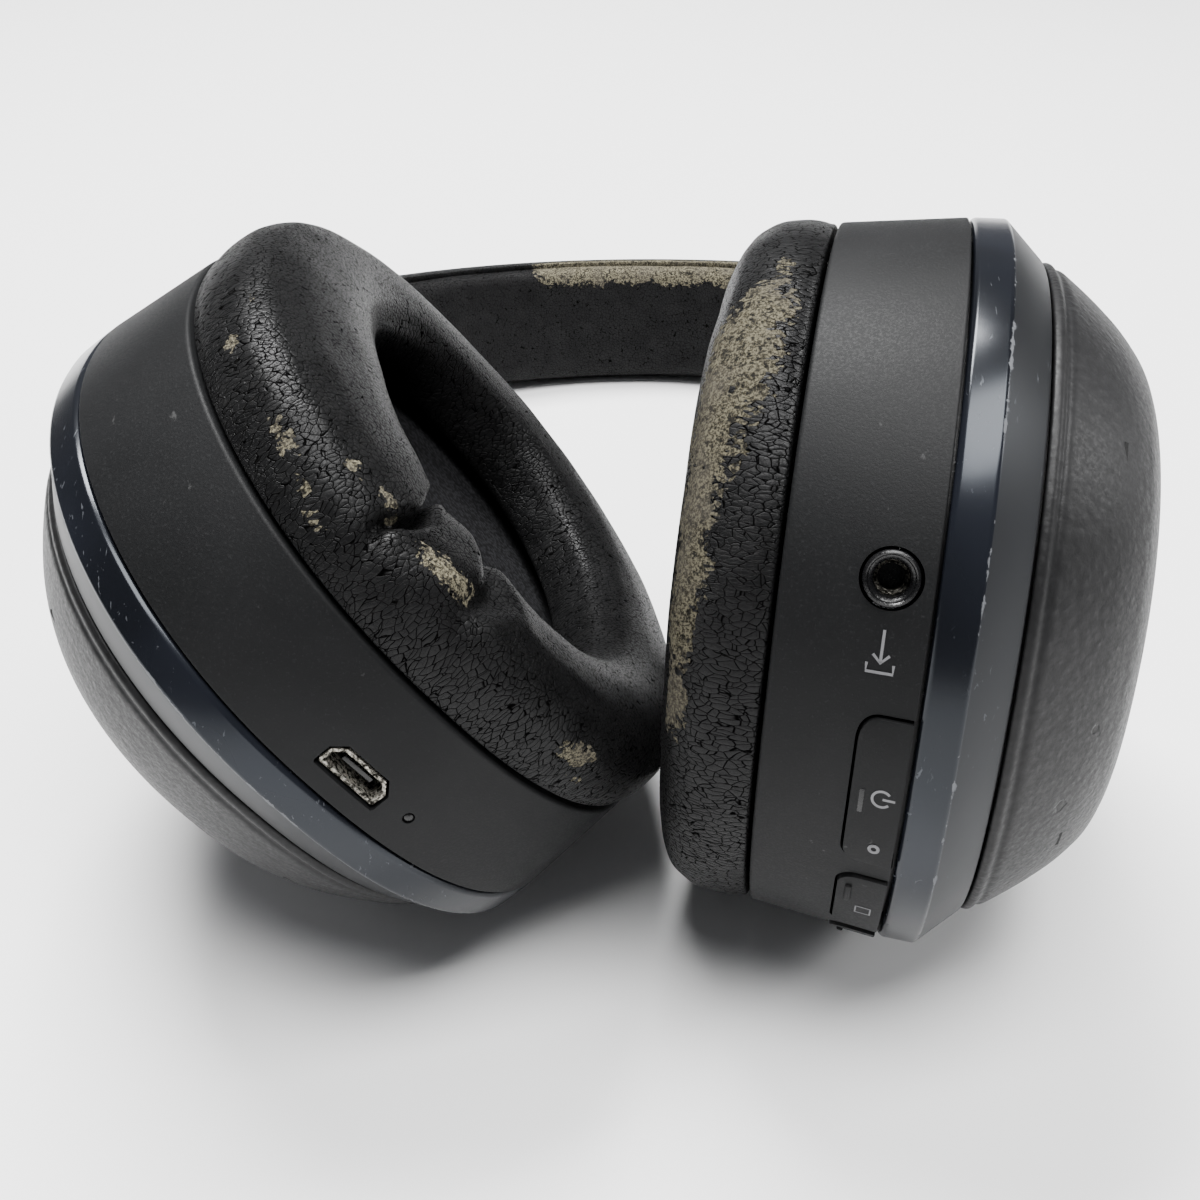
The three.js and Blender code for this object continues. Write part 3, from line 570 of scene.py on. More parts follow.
def cover_leather():
    """Fine pebbled leatherette with small dark nicks."""
    look = Look("cover_leather")
    where = look.warped(3, 0.8)
    pebble = look.cells(0.95, "SMOOTH_F1", where)
    fine = look.noise(0.4, 3, 0.6)
    tone = look.ramp(look.noise(16, 3), 0.35, 0.7)
    base = look.mix(tone, (0.0085, 0.0085, 0.0089), (0.0125, 0.0125, 0.013))
    base = look.mix(look.ramp(pebble, 0.2, 0.75, 0.0, 0.5), base, (0.005, 0.005, 0.0053))
    nick = look.ramp(look.cells(17, "F1", look.warped(2, 2)), 0.035, 0.055, 1, 0)
    base = look.mix(look.times(nick, 0.85), base, (0.003, 0.003, 0.003))
    height = look.plus(look.times(pebble, -1.0), look.times(fine, 0.4))
    height = look.minus(height, nick)
    return look.set(Base_Color=base, Roughness=look.ramp(fine, 0.3, 0.7, 0.42, 0.56),
                    Normal=look.bump(height, 0.07), Specular_IOR_Level=0.18)


def housing_plastic(name="housing_plastic", painted_shade=1.0):
    """Matte charcoal plastic with a fine spark texture and a few faint rubs. The last argument scales the whole
    colour down, and below 1, on the buttons, it is painted shade.
    """
    look = Look(name)
    speck = look.noise(0.3, 2, 0.7)
    cloud = look.ramp(look.noise(22, 3), 0.35, 0.7)
    dark, pale = (0.0042, 0.0044, 0.0047), (0.0070, 0.0072, 0.0076)
    base = look.mix(cloud, tuple(painted_shade * c for c in dark), tuple(painted_shade * c for c in pale))
    base = look.mix(look.ramp(speck, 0.55, 0.75, 0.0, 0.35), base, (0.022, 0.0225, 0.0235))
    rub = look.noise(1.2, 4, 0.6, look.stretched(1.0, 0.12, 0.9))
    rub = look.times(look.ramp(rub, 0.66, 0.74), look.ramp(look.noise(18), 0.5, 0.65))
    base = look.mix(look.times(rub, 0.3), base, (0.1, 0.1, 0.1))
    return look.set(Base_Color=base, Roughness=look.ramp(speck, 0.3, 0.7, 0.5, 0.62),
                    Normal=look.bump(speck, 0.03), Specular_IOR_Level=0.125)


def ring_gloss():
    """Blue-black gloss with a satin chamfer, and chips and rubs along its widest edge."""
    look = Look("ring_gloss")
    depth = look.value("depth")
    edge = look.math("ABSOLUTE", look.minus(depth, RING_WIDEST / MM + 0.15))
    chips = look.noise(1.6, 4, 0.65)
    runs = look.ramp(look.noise(13, 3), 0.4, 0.62)
    reach = look.plus(look.times(chips, 1.5), look.times(runs, 0.35))
    worn = look.ramp(look.minus(look.minus(reach, 0.97), edge), 0.0, 0.14)
    scratch = look.noise(0.5, 3, 0.6, look.stretched(1.0, 0.08, 0.5), 0.6)
    scratch = look.ramp(scratch, 0.65, 0.71)
    scratch = look.times(scratch, look.ramp(look.noise(9), 0.42, 0.56))
    chamfer = look.ramp(depth, RING_WIDEST / MM + 0.05, RING_WIDEST / MM + 0.35)
    cloud = look.ramp(look.noise(20, 2), 0.35, 0.7)
    gloss = look.mix(cloud, (0.0036, 0.0041, 0.0056), (0.0070, 0.0080, 0.0112))
    satin = look.mix(cloud, (0.0070, 0.0073, 0.0080), (0.0110, 0.0115, 0.0125))
    base = look.mix(chamfer, gloss, satin)
    base = look.mix(look.times(scratch, 0.55), base, (0.09, 0.095, 0.105))
    base = look.mix(look.times(worn, 0.6), base, (0.15, 0.155, 0.165))
    rough = look.ramp(chamfer, 0, 1, 0.21, 0.42)
    rough = look.plus(rough, look.times(worn, 0.3))
    rough = look.plus(rough, look.times(scratch, 0.25))
    dents = look.minus(look.times(look.noise(6, 2), 0.3), worn)
    look.set(Base_Color=base, Roughness=rough, Normal=look.bump(dents, 0.06))
    return look.set(Specular_IOR_Level=look.ramp(chamfer, 0, 1, 0.26, 0.15),
                    Specular_Tint=(0.86, 0.92, 1.0, 1))


def moulded(name, dark, pale, rough=0.5, grain=0.3, depth=0.03):
    look = Look(name)
    speck = look.noise(grain, 2, 0.6)
    base = look.mix(look.ramp(look.noise(9, 3), 0.35, 0.7), dark, pale)
    return look.set(Base_Color=base, Roughness=look.ramp(speck, 0.3, 0.7, rough - 0.06, rough + 0.06),
                    Normal=look.bump(speck, depth), Specular_IOR_Level=0.3)


def metal(name, dark, pale, rough=0.3):
    look = Look(name)
    brushed = look.noise(0.6, 3, 0.6, look.stretched(0.12, 1.0, 1.0))
    base = look.mix(look.ramp(brushed, 0.3, 0.7), dark, pale)
    shine = look.ramp(brushed, 0.3, 0.7, rough - 0.07, rough + 0.09)
    return look.set(Base_Color=base, Metallic=1.0, Roughness=shine, Normal=look.bump(brushed, 0.002))


def worn_metal(name):
    """Plated steel with dirt where the plating has rubbed through."""
    look = Look(name)
    plating = look.ramp(look.noise(0.5, 4, 0.75), 0.42, 0.6)
    base = look.mix(plating, (0.012, 0.011, 0.009), (0.42, 0.40, 0.35))
    return look.set(Base_Color=base, Metallic=1.0, Roughness=look.ramp(plating, 0, 1, 0.75, 0.38),
                    Normal=look.bump(plating, 0.08))


def woven(name, dark, pale):
    look = Look(name)
    threads = look.cells(0.6, "F1", look.warped(3, 0.2))
    base = look.mix(look.ramp(threads, 0.2, 0.7), pale, dark)
    return look.set(Base_Color=base, Roughness=0.95, Normal=look.bump(threads, 0.12),
                           Specular_IOR_Level=0.1)


LOOKS = {
    # The left pad's bare knit is drawn 0.7 as bright as the right pad's and the band's: painted shade.
    "pad_leather_left": worn_leather("pad_leather_left", out=CUPS["left"].col[0].to_3d(), painted_knit_shade=0.7),
    "pad_leather_right": worn_leather("pad_leather_right", out=CUPS["right"].col[0].to_3d()),
    "band_leather": worn_leather("band_leather", crack=0.6, gloss=0.5),
    "shell_leather": worn_leather("shell_leather", crack=0.6, peel=False, gloss=0.5),
    "cover_leather": cover_leather(),
    "housing_plastic": housing_plastic(),
    # The buttons' plastic is drawn 0.85 as bright as the housing's: painted shade.
    "button_plastic": housing_plastic("button_plastic", 0.85),
    "ring_gloss": ring_gloss(),
    "dark_plastic": moulded("dark_plastic", (0.0055, 0.0055, 0.006), (0.0095, 0.0095, 0.0105), 0.42),
    "socket_plastic": moulded("socket_plastic", (0.002, 0.002, 0.0022), (0.004, 0.004, 0.0044), 0.26),
    "steel": metal("steel", (0.34, 0.34, 0.35), (0.6, 0.6, 0.61)),
    "dull_metal": worn_metal("dull_metal"),
    # Near-black: painted shade that stands for the dark inside of openings, such as the mic slits.
    "void": moulded("void", (0.0008, 0.0008, 0.0008), (0.0016, 0.0016, 0.0016), 0.8),
    "magnet": metal("magnet", (0.26, 0.26, 0.27), (0.46, 0.46, 0.48), 0.35),
    "foil": metal("foil", (0.5, 0.5, 0.52), (0.68, 0.68, 0.7), 0.34),
    "cloth": woven("cloth", (0.003, 0.003, 0.0034), (0.012, 0.0122, 0.0135)),
    "board": moulded("board", (0.008, 0.05, 0.02), (0.016, 0.085, 0.035), 0.4),
    "film": moulded("film", (0.3, 0.28, 0.22), (0.42, 0.39, 0.32), 0.4),
    "light": moulded("light", (0.07, 0.01, 0.008), (0.12, 0.02, 0.015), 0.3),
    "mark": moulded("mark", (0.10, 0.10, 0.105), (0.16, 0.16, 0.165), 0.6),
}


def dress(piece, body, look):
    """Gives a piece its look, which fills its one material slot, and the body it rides."""
    piece.data.materials.clear()
    piece.data.materials.append(LOOKS[look])
    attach(piece, body)


def paint_node(node, look):
    for entry in frame["nodes"][node].material_slots:
        entry.material = LOOKS[look]


# ---- soft pieces
CLOTH_FRAMES = 20
CLOTH_SETTINGS = {
    "use_pressure": True, "uniform_pressure_force": 4.0, "vertex_group_mass": "held", "quality": 6,
    "tension_stiffness": 12, "compression_stiffness": 12,
}
EVENING_ROUNDS = 10


def inflate(piece, held, cap):
    """Swells a closed mesh as a stuffed skin. held says which points stay, cap the most any moves."""
    group = piece.vertex_groups.new(name="held")
    group.add([i for i, stays in enumerate(held) if stays], 1.0, "REPLACE")
    start = points_of(piece)
    settings = piece.modifiers.new("cloth", "CLOTH").settings
    for key, value in CLOTH_SETTINGS.items():
        setattr(settings, key, value)
    settings.effector_weights.gravity = 0
    scene = bpy.context.scene
    for step in range(1, CLOTH_FRAMES + 1):
        scene.frame_set(step)
    apply_modifiers(piece)
    scene.frame_set(1)
    piece.vertex_groups.clear()
    shift = evened(piece.data, points_of(piece) - start, EVENING_ROUNDS)
    length = np.linalg.norm(shift, axis=1, keepdims=True)
    shift *= np.minimum(1.0, cap / np.maximum(length, 1e-9))
    move_points(piece, start + shift)


def evened(data, values, rounds):
    """Averages each point's value with its neighbours' a number of times."""
    ends = np.array([edge.vertices[:] for edge in data.edges])
    count = np.bincount(ends.ravel(), minlength=len(values))[:, None]
    for _ in range(rounds):
        total = np.zeros_like(values)
        np.add.at(total, ends[:, 0], values[ends[:, 1]])
        np.add.at(total, ends[:, 1], values[ends[:, 0]])
        values = 0.5 * values + 0.5 * total / np.maximum(count, 1)
    return values


# The pad from its seam to the ear opening: share of its depth and inset in mm
PAD_PROFILE = [
    (0.0, 2.2), (0.3, 1.4), (0.65, 2.1), (0.9, 5.0), (1.0, 9.4), (0.92, 14.2), (0.65, 20.4), (0.3, 21.0),
]


def pad_across(depth, inset):
    """How far across the pad a point is: 0 at the outer seam, 1 at the ear opening's lip."""
    line = np.array([(-share * PAD_DEPTH / MM, rim) for share, rim in PAD_PROFILE])
    lengths = np.r_[0, np.cumsum(np.hypot(*np.diff(line, axis=0).T))]
    best = np.full(len(depth), 1e9)
    across = np.zeros(len(depth))
    for i in range(len(line) - 1):
        run = line[i + 1] - line[i]
        t = ((depth - line[i, 0]) * run[0] + (inset - line[i, 1]) * run[1]) / (run @ run)
        t = np.clip(t, 0, 1)
        gap = np.hypot(depth - line[i, 0] - t * run[0], inset - line[i, 1] - t * run[1])
        here = (lengths[i] + t * (lengths[i + 1] - lengths[i])) / lengths[-2]
        across = np.where(gap < best, here, across)
        best = np.minimum(best, gap)
    return across


def pad_coordinates(points, side):
    """For world points: turn round the cup in degrees, place across the pad and depth in mm."""
    depth, *flat = seen_from(CUPS[side], points).T
    halves = (CUP_TALL / MM, CUP_FRONT / MM)
    reach = sum(np.abs(part / half) ** CUP_POWER for part, half in zip(flat, halves)) ** (1 / CUP_POWER)
    sine, cosine = (np.sign(part) * np.abs(part / half / reach) ** (CUP_POWER / 2)
                    for part, half in zip(flat, halves))
    turn = np.degrees(np.arctan2(sine, cosine)) % 360
    inset = (1 - reach) * sum(halves) / 2
    return turn, pad_across(depth, inset), depth


def turn_gap(turn, centre):
    return (turn - centre + 180) % 360 - 180


def eased(values):
    """0 below 0, 1 above 1, and smooth in between."""
    values = np.clip(values, 0, 1)
    return values * values * (3 - 2 * values)


# Peeled places on the pads: turn, place across, half length in degrees, half width, strength
PAD_PEELS = {
    "left": [
        (330, 0.20, 9, 0.12, 1.0), (320, 0.28, 10, 0.17, 1.1), (308, 0.34, 9, 0.15, 1.1),
        (297, 0.37, 9, 0.12, 1.05), (287, 0.35, 8, 0.11, 1.0), (278, 0.37, 7, 0.10, 1.0),
        (268, 0.36, 6, 0.08, 0.9), (341, 0.15, 5, 0.05, 0.7), (300, 0.22, 3, 0.04, 0.55),
    ],
    "right": [
        (332, 0.17, 3.5, 0.035, 0.8), (312, 0.20, 4.5, 0.05, 0.9), (304, 0.17, 2.5, 0.03, 0.7),
        (302, 0.37, 3, 0.03, 0.7), (295, 0.43, 4, 0.045, 0.8), (298, 0.13, 3, 0.04, 0.6),
        (280, 0.41, 5.5, 0.055, 1.0), (248, 0.22, 4.5, 0.05, 0.9), (243, 0.12, 3, 0.03, 0.6),
        (341, 0.30, 3, 0.03, 0.55), (120, 0.30, 4, 0.04, 0.7), (165, 0.25, 6, 0.04, 0.7),
    ],
}
# Pressed-in creases: turn, from and to across, depth in mm, half width in degrees
PAD_CREASES = {
    "left": [(255, 0.6, 0.95, 0.7, 4)],
    "right": [
        (291, 0.34, 0.98, 2.4, 1.4), (290, 0.3, 1.0, 0.9, 6), (274, 0.36, 0.9, 1.4, 2.8),
    ],
}
# Slack leather sagging into the ear opening: turn, half width in degrees, inward and raised in mm
PAD_SAGS = {"left": (335, 40, 1.2, 0.4), "right": (337, 48, 4.4, 1.1)}


# The pad's skin is drawn this much lower than the pad, and swells by up to as much
PAD_SWELL = 1.1 * MM


def ear_pad(side):
    def rim(share, inset):
        return level(-share * (PAD_DEPTH - PAD_SWELL), inset * MM)

    def opening(depth, extra):
        return (depth, EAR_FRONT + extra * MM, EAR_TALL + extra * MM, 0.0)

    corners = [
        level(PAD_BASE, 3.4 * MM), level(PAD_BASE, 2.4 * MM), level(PAD_BASE - 0.5 * MM, 2.1 * MM),
        rim(0.3, 1.9), rim(0.6, 2.4), rim(0.85, 4.2), rim(0.98, 7.6), rim(1.0, 12.0), rim(0.93, 15.6),
        opening(-0.65 * PAD_DEPTH, 1.5), opening(-0.3 * PAD_DEPTH, 1.2), opening(PAD_BASE, 2.0),
    ]
    piece = oval_piece(f"pad_{side}", side, corners, steps=110, spacing=2.4 * MM)
    _, _, depth = pad_coordinates(points_of(piece), side)
    inflate(piece, depth > -1.8, PAD_SWELL)
    modify(piece, "SUBSURF", levels=2)
    shape_pad(piece, side)
    smooth(piece, 80)
    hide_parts(f"ear_pad_{side}")
    dress(piece, f"cup_{side}", f"pad_leather_{side}")


def sagged(points, side, turn, across, depth):
    """How far slack leather has moved each point into the ear opening."""
    centre, half, inward, raised = PAD_SAGS[side]
    share = np.exp(-(turn_gap(turn, centre) / half) ** 2)
    share *= eased((across - 0.3) / 0.55) * eased(-(depth + 0.5) / 5)
    turned = np.array(CUPS[side].to_3x3())
    middle = np.array(CUPS[side].translation)
    radial = (points - middle) @ turned
    radial[:, 0] = 0
    radial /= np.linalg.norm(radial, axis=1, keepdims=True)
    local = -inward * radial - raised * np.array([1.0, 0.0, 0.0])
    return share[:, None] * MM * (local @ turned.T)


def creased(side, turn, across):
    """How far creases press in each point of a pad, and lift their shoulders."""
    shift = np.zeros(len(turn))
    for centre, start, end, sink, half in PAD_CREASES[side]:
        gap = turn_gap(turn, centre) + 1.5 * np.sin(across * 14)
        along = np.exp(-(gap / half) ** 2)
        shoulder = np.exp(-(gap / (2.8 * half)) ** 2) - along
        band = np.exp(-((across - (start + end) / 2) / (0.62 * (end - start))) ** 4)
        shift += band * (0.28 * sink * shoulder - sink * along) * MM
    return shift


def peeled(side, turn, across):
    """How far the leather has peeled at each point of a pad."""
    peel = np.zeros(len(turn))
    for centre, place, half_turn, half_across, strength in PAD_PEELS[side]:
        spot = (turn_gap(turn, centre) / half_turn) ** 2 + ((across - place) / half_across) ** 2
        peel = np.maximum(peel, strength * np.exp(-0.5 * spot))
    return 0.75 * peel


def shape_pad(piece, side):
    """Presses creases and slack folds into a pad and marks where its skin has peeled."""
    points = points_of(piece)
    turn, across, depth = pad_coordinates(points, side)
    shift = creased(side, turn, across)
    for i, (point, place) in enumerate(zip(points, across)):
        slack = noise.noise(Vector(point) / (17 * MM)) * 0.35
        slack += noise.noise(Vector(point) / (6 * MM)) * 0.1
        shift[i] += (slack - 0.1) * MM * min(1.0, place * 8)
    shift -= 0.15 * MM * np.exp(-((across - 0.02) / 0.03) ** 2)
    shift *= eased(-(depth + 0.2) / 0.8)
    folds = sagged(points, side, turn, across, depth)
    move_points(piece, points + normals_of(piece) * shift[:, None] + folds)
    set_values(piece.data, "peel", peeled(side, turn, across))
    set_values(piece.data, "sink", depth * MM)


# ---- band pieces
def sweep_piece(name, section, stations):
    """A piece with the section (outward, front) at each station of the band."""
    points = [centre + out * o + Vector((0, 0, z)) for centre, out in stations for o, z in section]
    return new_piece(name, points, tube_faces(len(stations), len(section)), HEAD)


def rounded_section(low, high, half, low_radius, high_radius, steps=6):
    corners = [
        (high - high_radius, half - high_radius, high_radius, 0),
        (low + low_radius, half - low_radius, low_radius, 1),
        (low + low_radius, -half + low_radius, low_radius, 2),
        (high - high_radius, -half + high_radius, high_radius, 3),
    ]
    section = []
    for out, front, radius, quarter in corners:
        for i in range(steps + 1):
            angle = (quarter + i / steps) * math.pi / 2
            section.append((out + radius * math.cos(angle), front + radius * math.sin(angle)))
    return section


def band_run(limit, steps):
    return [band_station(-limit + 2 * limit * i / steps) for i in range(steps + 1)]


def band_cushion():
    section = rounded_section(-4.7 * MM, -0.8 * MM, BAND_HALF_WIDE - 0.7 * MM, 2.4 * MM, 0.5 * MM, 2)
    piece = sweep_piece("band_pad", evenly(section, 2.2 * MM), band_run(SLEEVE_TURN - 0.012, 76))
    height, _ = band_height(seen_from(HEAD, points_of(piece)))
    inflate(piece, height > 4.2, 0.8 * MM)
    modify(piece, "SUBSURF", levels=2)
    points = points_of(piece)
    shift = [0.2 * MM * noise.noise(Vector(p) / (14 * MM)) - 0.1 * MM for p in points]
    move_points(piece, points + normals_of(piece) * np.array(shift)[:, None])
    set_values(piece.data, "peel", band_peel(piece))
    smooth(piece, 80)
    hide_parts("band_cushion")
    dress(piece, "headband", "band_leather")


def band_height(local):
    """Height over the arch's inner face in mm, and turn along the band in degrees."""
    radius = BAND_INNER_RADIUS / MM
    height = np.hypot(local[:, 0], local[:, 1] + radius) - radius
    return height, np.degrees(np.arctan2(local[:, 0], local[:, 1] + radius))


def band_peel(piece):
    """How far the leather has peeled at each point: a strip at the band's front edge."""
    local = seen_from(HEAD, points_of(piece))
    height, turn = band_height(local)
    edge = np.exp(-(((local[:, 2] - 12.4) / 4.2) ** 2))
    low = 1 / (1 + np.exp((height - 6.5) / 0.6))
    run = 1 / (1 + np.exp((np.abs(turn + 1) - 22) / 1.2))
    return edge * run * low


def band_shell():
    arc_steps = 6
    outer = rounded_section(0.7 * MM, BAND_HALF_THICK, BAND_HALF_WIDE, 0.3 * MM, 3 * MM, arc_steps)
    corner = arc_steps + 1
    inner = BAND_HALF_WIDE - 1.3 * MM
    low, floor_height = -0.5 * MM, 0.7 * MM
    section = outer[3 * corner:] + outer[:corner] + [
        (low, BAND_HALF_WIDE), (low, inner), (floor_height, inner),
        (floor_height, -inner), (low, -inner), (low, -BAND_HALF_WIDE),
    ]
    piece = sweep_piece("band_outer", section, band_run(SLEEVE_TURN, 110))
    bevel(piece, 0.3)
    set_values(piece.data, "peel", band_peel(piece))
    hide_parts("band_shell")
    dress(piece, "headband", "band_leather")


def band_tongue(side, turn):
    """The sleeve's tongue inside the band's end, which closes the gap between them."""
    section = rounded_section(-3.4 * MM, 4.7 * MM, BAND_HALF_WIDE - 1.1 * MM, 1.5 * MM, 2.4 * MM)
    half = 0.02
    stations = [band_station(turn - half + half * i) for i in range(3)]
    piece = sweep_piece(f"sleeve_tongue_{side}", section, stations)
    smooth(piece)
    dress(piece, "headband", "dark_plastic")


# ---- hard cup pieces
def notch(side):
    """The opening at the cup's top that the yoke's neck leaves by, as a cutter."""
    return block("notch", CUPS[side], (10.4, 37, -7.5), (20.3, 50, 7.5))


def round_hole(name, side, turn, radius, low, steps):
    """A round hole through the housing wall, as a cutter."""
    profile = [(0.01, low), (radius, low), (radius, 2), (0.01, 2)]
    return turned_piece(name, wall_axes(side, turn, SOCKET_DEPTH), profile, steps)


def button_pocket(name, start, end):
    """The opening round a button, as a cutter."""
    clear, clear_turn = 0.3 * MM, 0.4
    turns = (start - clear_turn, end + clear_turn)
    depths = (BUTTON_START - clear, HOUSING_END + 2 * MM)
    return wall_patch(f"{name}_pocket", "left", turns, depths, (-3 * MM, 5 * MM), BUTTON_CORNER + clear)


def housing(side):
    corners = [
        level(HOUSING_START, HOUSING_START_INSET, 0.5 * MM),
        level(HOUSING_END, HOUSING_END_INSET, 0.25 * MM),
        level(HOUSING_END, HOUSING_END_INSET + WALL, 0.2 * MM),
        level(FLANGE_DEPTH, HOUSING_START_INSET + WALL, 0.2 * MM),
        level(FLANGE_DEPTH, FLANGE_INSET, 0.2 * MM),
        level(HOUSING_START, FLANGE_INSET, 0.4 * MM),
    ]
    piece = oval_piece(f"housing_{side}_skin", side, corners, steps=180)
    cutters = [notch(side)]
    if side == "left":
        cutters += [button_pocket(name, *turns) for name, turns in BUTTON_TURNS.items()]
        cutters.append(round_hole("jack_hole", side, JACK_TURN, 3.1, -8, 48))
    else:
        matrix = wall_axes(side, USB_TURN, SOCKET_DEPTH)
        cutters.append(usb_outline("usb_hole", matrix, 1.92, 4.4, -8, 2))
        cutters.append(round_hole("light_hole", side, LIGHT_TURN, 0.7, -6, 24))
    carve(piece, cutters)
    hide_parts(f"housing_{side}")
    dress(piece, f"cup_{side}", "housing_plastic")


def usb_outline(name, matrix, half_tall, half_wide, low, high):
    """The socket's outline in mm: a rounded slot with its two inner corners cut off."""
    cut = 0.75 * half_tall
    outline = [
        (half_tall, -half_wide + 0.2), (half_tall, half_wide - 0.2),
        (half_tall - 0.3, half_wide), (-half_tall + cut, half_wide),
        (-half_tall, half_wide - cut), (-half_tall, -half_wide + cut),
        (-half_tall + cut, -half_wide), (half_tall - 0.3, -half_wide),
    ]
    points = [(x * MM, y * MM, z * MM) for y in (low, high) for x, z in outline]
    return new_piece(name, points, tube_faces(2, len(outline)), matrix)


# Thin dark rings that close a cup's seams, in mm: from and to depth, inset, thickness, corner radius,
# and whether the ring is cut away at the notch. The first lies under the pad and holds it.
SEAM_RINGS = (
    ("pad_frame", -0.05, 1.2, 9.7, 1.5, 0.1, False),
    ("ring_lip", 15.0, 16.2, 2.9, 0.7, 0.0, True),
    ("cover_lip", 23.6, 25.0, 7.5, 0.7, 0.0, True),
)


def seam_rings(side):
    for name, start, end, inset, thick, radius, notched in SEAM_RINGS:
        loop = [(start, inset), (end, inset), (end, inset + thick), (start, inset + thick)]
        corners = [level(depth * MM, reach * MM, radius * MM) for depth, reach in loop]
        piece = oval_piece(f"{name}_{side}", side, corners)
        if notched:
            carve(piece, [notch(side)])
        dress(piece, f"cup_{side}", "dark_plastic")


def trim_ring(side):
    corners = [
        level(RING_START, 0.5 * MM, 0.25 * MM),
        level(RING_START + 0.5 * MM, 0.15 * MM, 0.2 * MM),
        level(RING_WIDEST, 0.0, 0.28 * MM),
        level(RING_END, RING_END_INSET, 0.35 * MM),
        level(RING_END, RING_END_INSET + WALL, 0.2 * MM),
        level(RING_START, WALL + 0.7 * MM, 0.2 * MM),
    ]
    piece = oval_piece(f"ring_{side}", side, corners, steps=200)
    carve(piece, [notch(side)])
    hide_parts(f"trim_ring_{side}")
    dress(piece, f"cup_{side}", "ring_gloss")


# The outer cover from its seam to its middle, in mm: depth beyond its start, inset and corner radius
COVER_PROFILE = (
    (0.2, 7.3, 0.0), (0.0, 5.7, 0.3), (0.0, 4.7, 0.3), (0.9, 4.55, 0.5), (1.5, 5.3, 0.3), (2.2, 5.35, 0.6),
    (6.0, 8.1, 2.5), (9.6, 11.2, 2.0), (12.1, 14.2, 1.2), (13.5, 17.4, 2.0), (14.1, 22.0, 2.0),
    (14.1, 32.0, 0.0), (14.1, 41.0, 0.0),
)


def outer_cover(side):
    corners = [level(COVER_START + depth * MM, inset * MM, radius * MM)
               for depth, inset, radius in COVER_PROFILE]
    piece = oval_piece(f"cover_{side}", side, corners, False, 180, 6)
    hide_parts(f"outer_cover_{side}")
    dress(piece, f"cup_{side}", "cover_leather")


def scrim(side):
    """The cloth stretched over the ear opening."""
    inset = FLANGE_INSET + 0.4 * MM
    corners = [level(1.8 * MM, inset), level(1.7 * MM, inset + 12 * MM), level(1.6 * MM, 41 * MM)]
    profile = round_profile(corners, False)
    steps = 96
    faces = grid_faces(len(profile), steps, False)
    last = (len(profile) - 1) * steps
    faces.append(tuple(last + j for j in range(steps)))
    piece = new_piece(f"ear_cloth_{side}", oval_points(profile, steps), faces, CUPS[side], solid=False)
    smooth(piece)
    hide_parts(f"scrim_{side}")
    dress(piece, f"cup_{side}", "cloth")


MARK_THICK = 0.04 * MM


def ribbon(name, matrix, points, width, closed=False):
    """A flat painted line through points on a wall frame: (across, along) in millimetres."""
    line = [Vector((x * MM, z * MM)) for x, z in points]
    count = len(line)
    ring = []
    for i, here in enumerate(line):
        before = line[i - 1] if closed or i > 0 else here
        after = line[(i + 1) % count] if closed or i < count - 1 else here
        run = (after - before).normalized()
        side = Vector((-run.y, run.x)) * width * MM / 2
        one, other = here + side, here - side
        ring += [(one.x, -MARK_THICK, one.y), (other.x, -MARK_THICK, other.y)]
        ring += [(other.x, MARK_THICK, other.y), (one.x, MARK_THICK, one.y)]
    faces = grid_faces(count, 4, True) if closed else tube_faces(count, 4)
    return new_piece(name, ring, faces, matrix)


def arc(radius, start, end, steps=20):
    """Points on an arc, its ends in degrees."""
    turns = [math.radians(start + (end - start) * i / steps) for i in range(steps + 1)]
    return [(radius * math.cos(turn), radius * math.sin(turn)) for turn in turns]


BUTTON_RISE = 0.35 * MM
WALL_LEAN = math.atan((HOUSING_START_INSET - HOUSING_END_INSET) / (HOUSING_END - HOUSING_START))


def on_wall(side, degrees, depth, rise):
    """A frame that lies flat on the housing wall, which leans, a little above it."""
    lean = Matrix.Rotation(WALL_LEAN, 4, "Z")
    return wall_axes(side, degrees, depth) @ Matrix.Translation((0, rise, 0)) @ lean


def on_button(degrees, depth=12.9):
    """A frame on a button's outer face, depth in millimetres."""
    return on_wall("left", degrees, depth * MM, BUTTON_RISE)


# Painted marks on the buttons: name, button, turn, line in mm, its width in mm, closed
ICONS = (
    ("power_icon_ring", "power_button", 262, arc(0.95, 40, 320), 0.26, False),
    ("power_icon_bar", "power_button", 262, [(0.1, 0), (1.35, 0)], 0.26, False),
    ("noise_icon", "noise_button", 236.5, [(-0.8, -0.8), (0.8, -0.8), (0.8, 0.8), (-0.8, 0.8)], 0.24, True),
    ("ambient_icon", "ambient_button", 213.5, arc(0.9, 0, 342), 0.24, True),
)


def buttons():
    """The three keys and their raised bars, painted marks, lens and microphone."""
    for name, turns in BUTTON_TURNS.items():
        key = wall_patch(f"{name}_key", "left", turns, (BUTTON_START, BUTTON_END),
                         (-BUTTON_RISE, WALL + 0.8 * MM), BUTTON_CORNER)
        bevel(key, 0.2, 3, 60)
        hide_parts(name)
        dress(key, name, "button_plastic")
    for name, body, turn, line, width, closed in ICONS:
        mark = ribbon(name, on_button(turn), line, width, closed)
        dress(mark, body, "mark")
    lens = block("power_light", on_button(261.2, 10.9), (-0.28, -0.4, -1.5), (0.28, 0.06, 1.5))
    bevel(lens, 0.12)
    dress(lens, "power_button", "socket_plastic")
    hole = [(0.3, -0.2), (0.3, 0.1), (0.62, 0.1), (0.62, -0.2)]
    dot = turned_piece("power_mic", on_button(253.3), hole, 24)
    dress(dot, "power_button", "mark")
    for body, turn in (("noise_button", 241.5), ("ambient_button", 217)):
        bar = block(f"{body}_bar", on_button(turn, 11.0), (-0.35, -0.3, -1.6), (0.35, 0.3, 1.6))
        bevel(bar, 0.2, 3)
        dress(bar, body, "button_plastic")


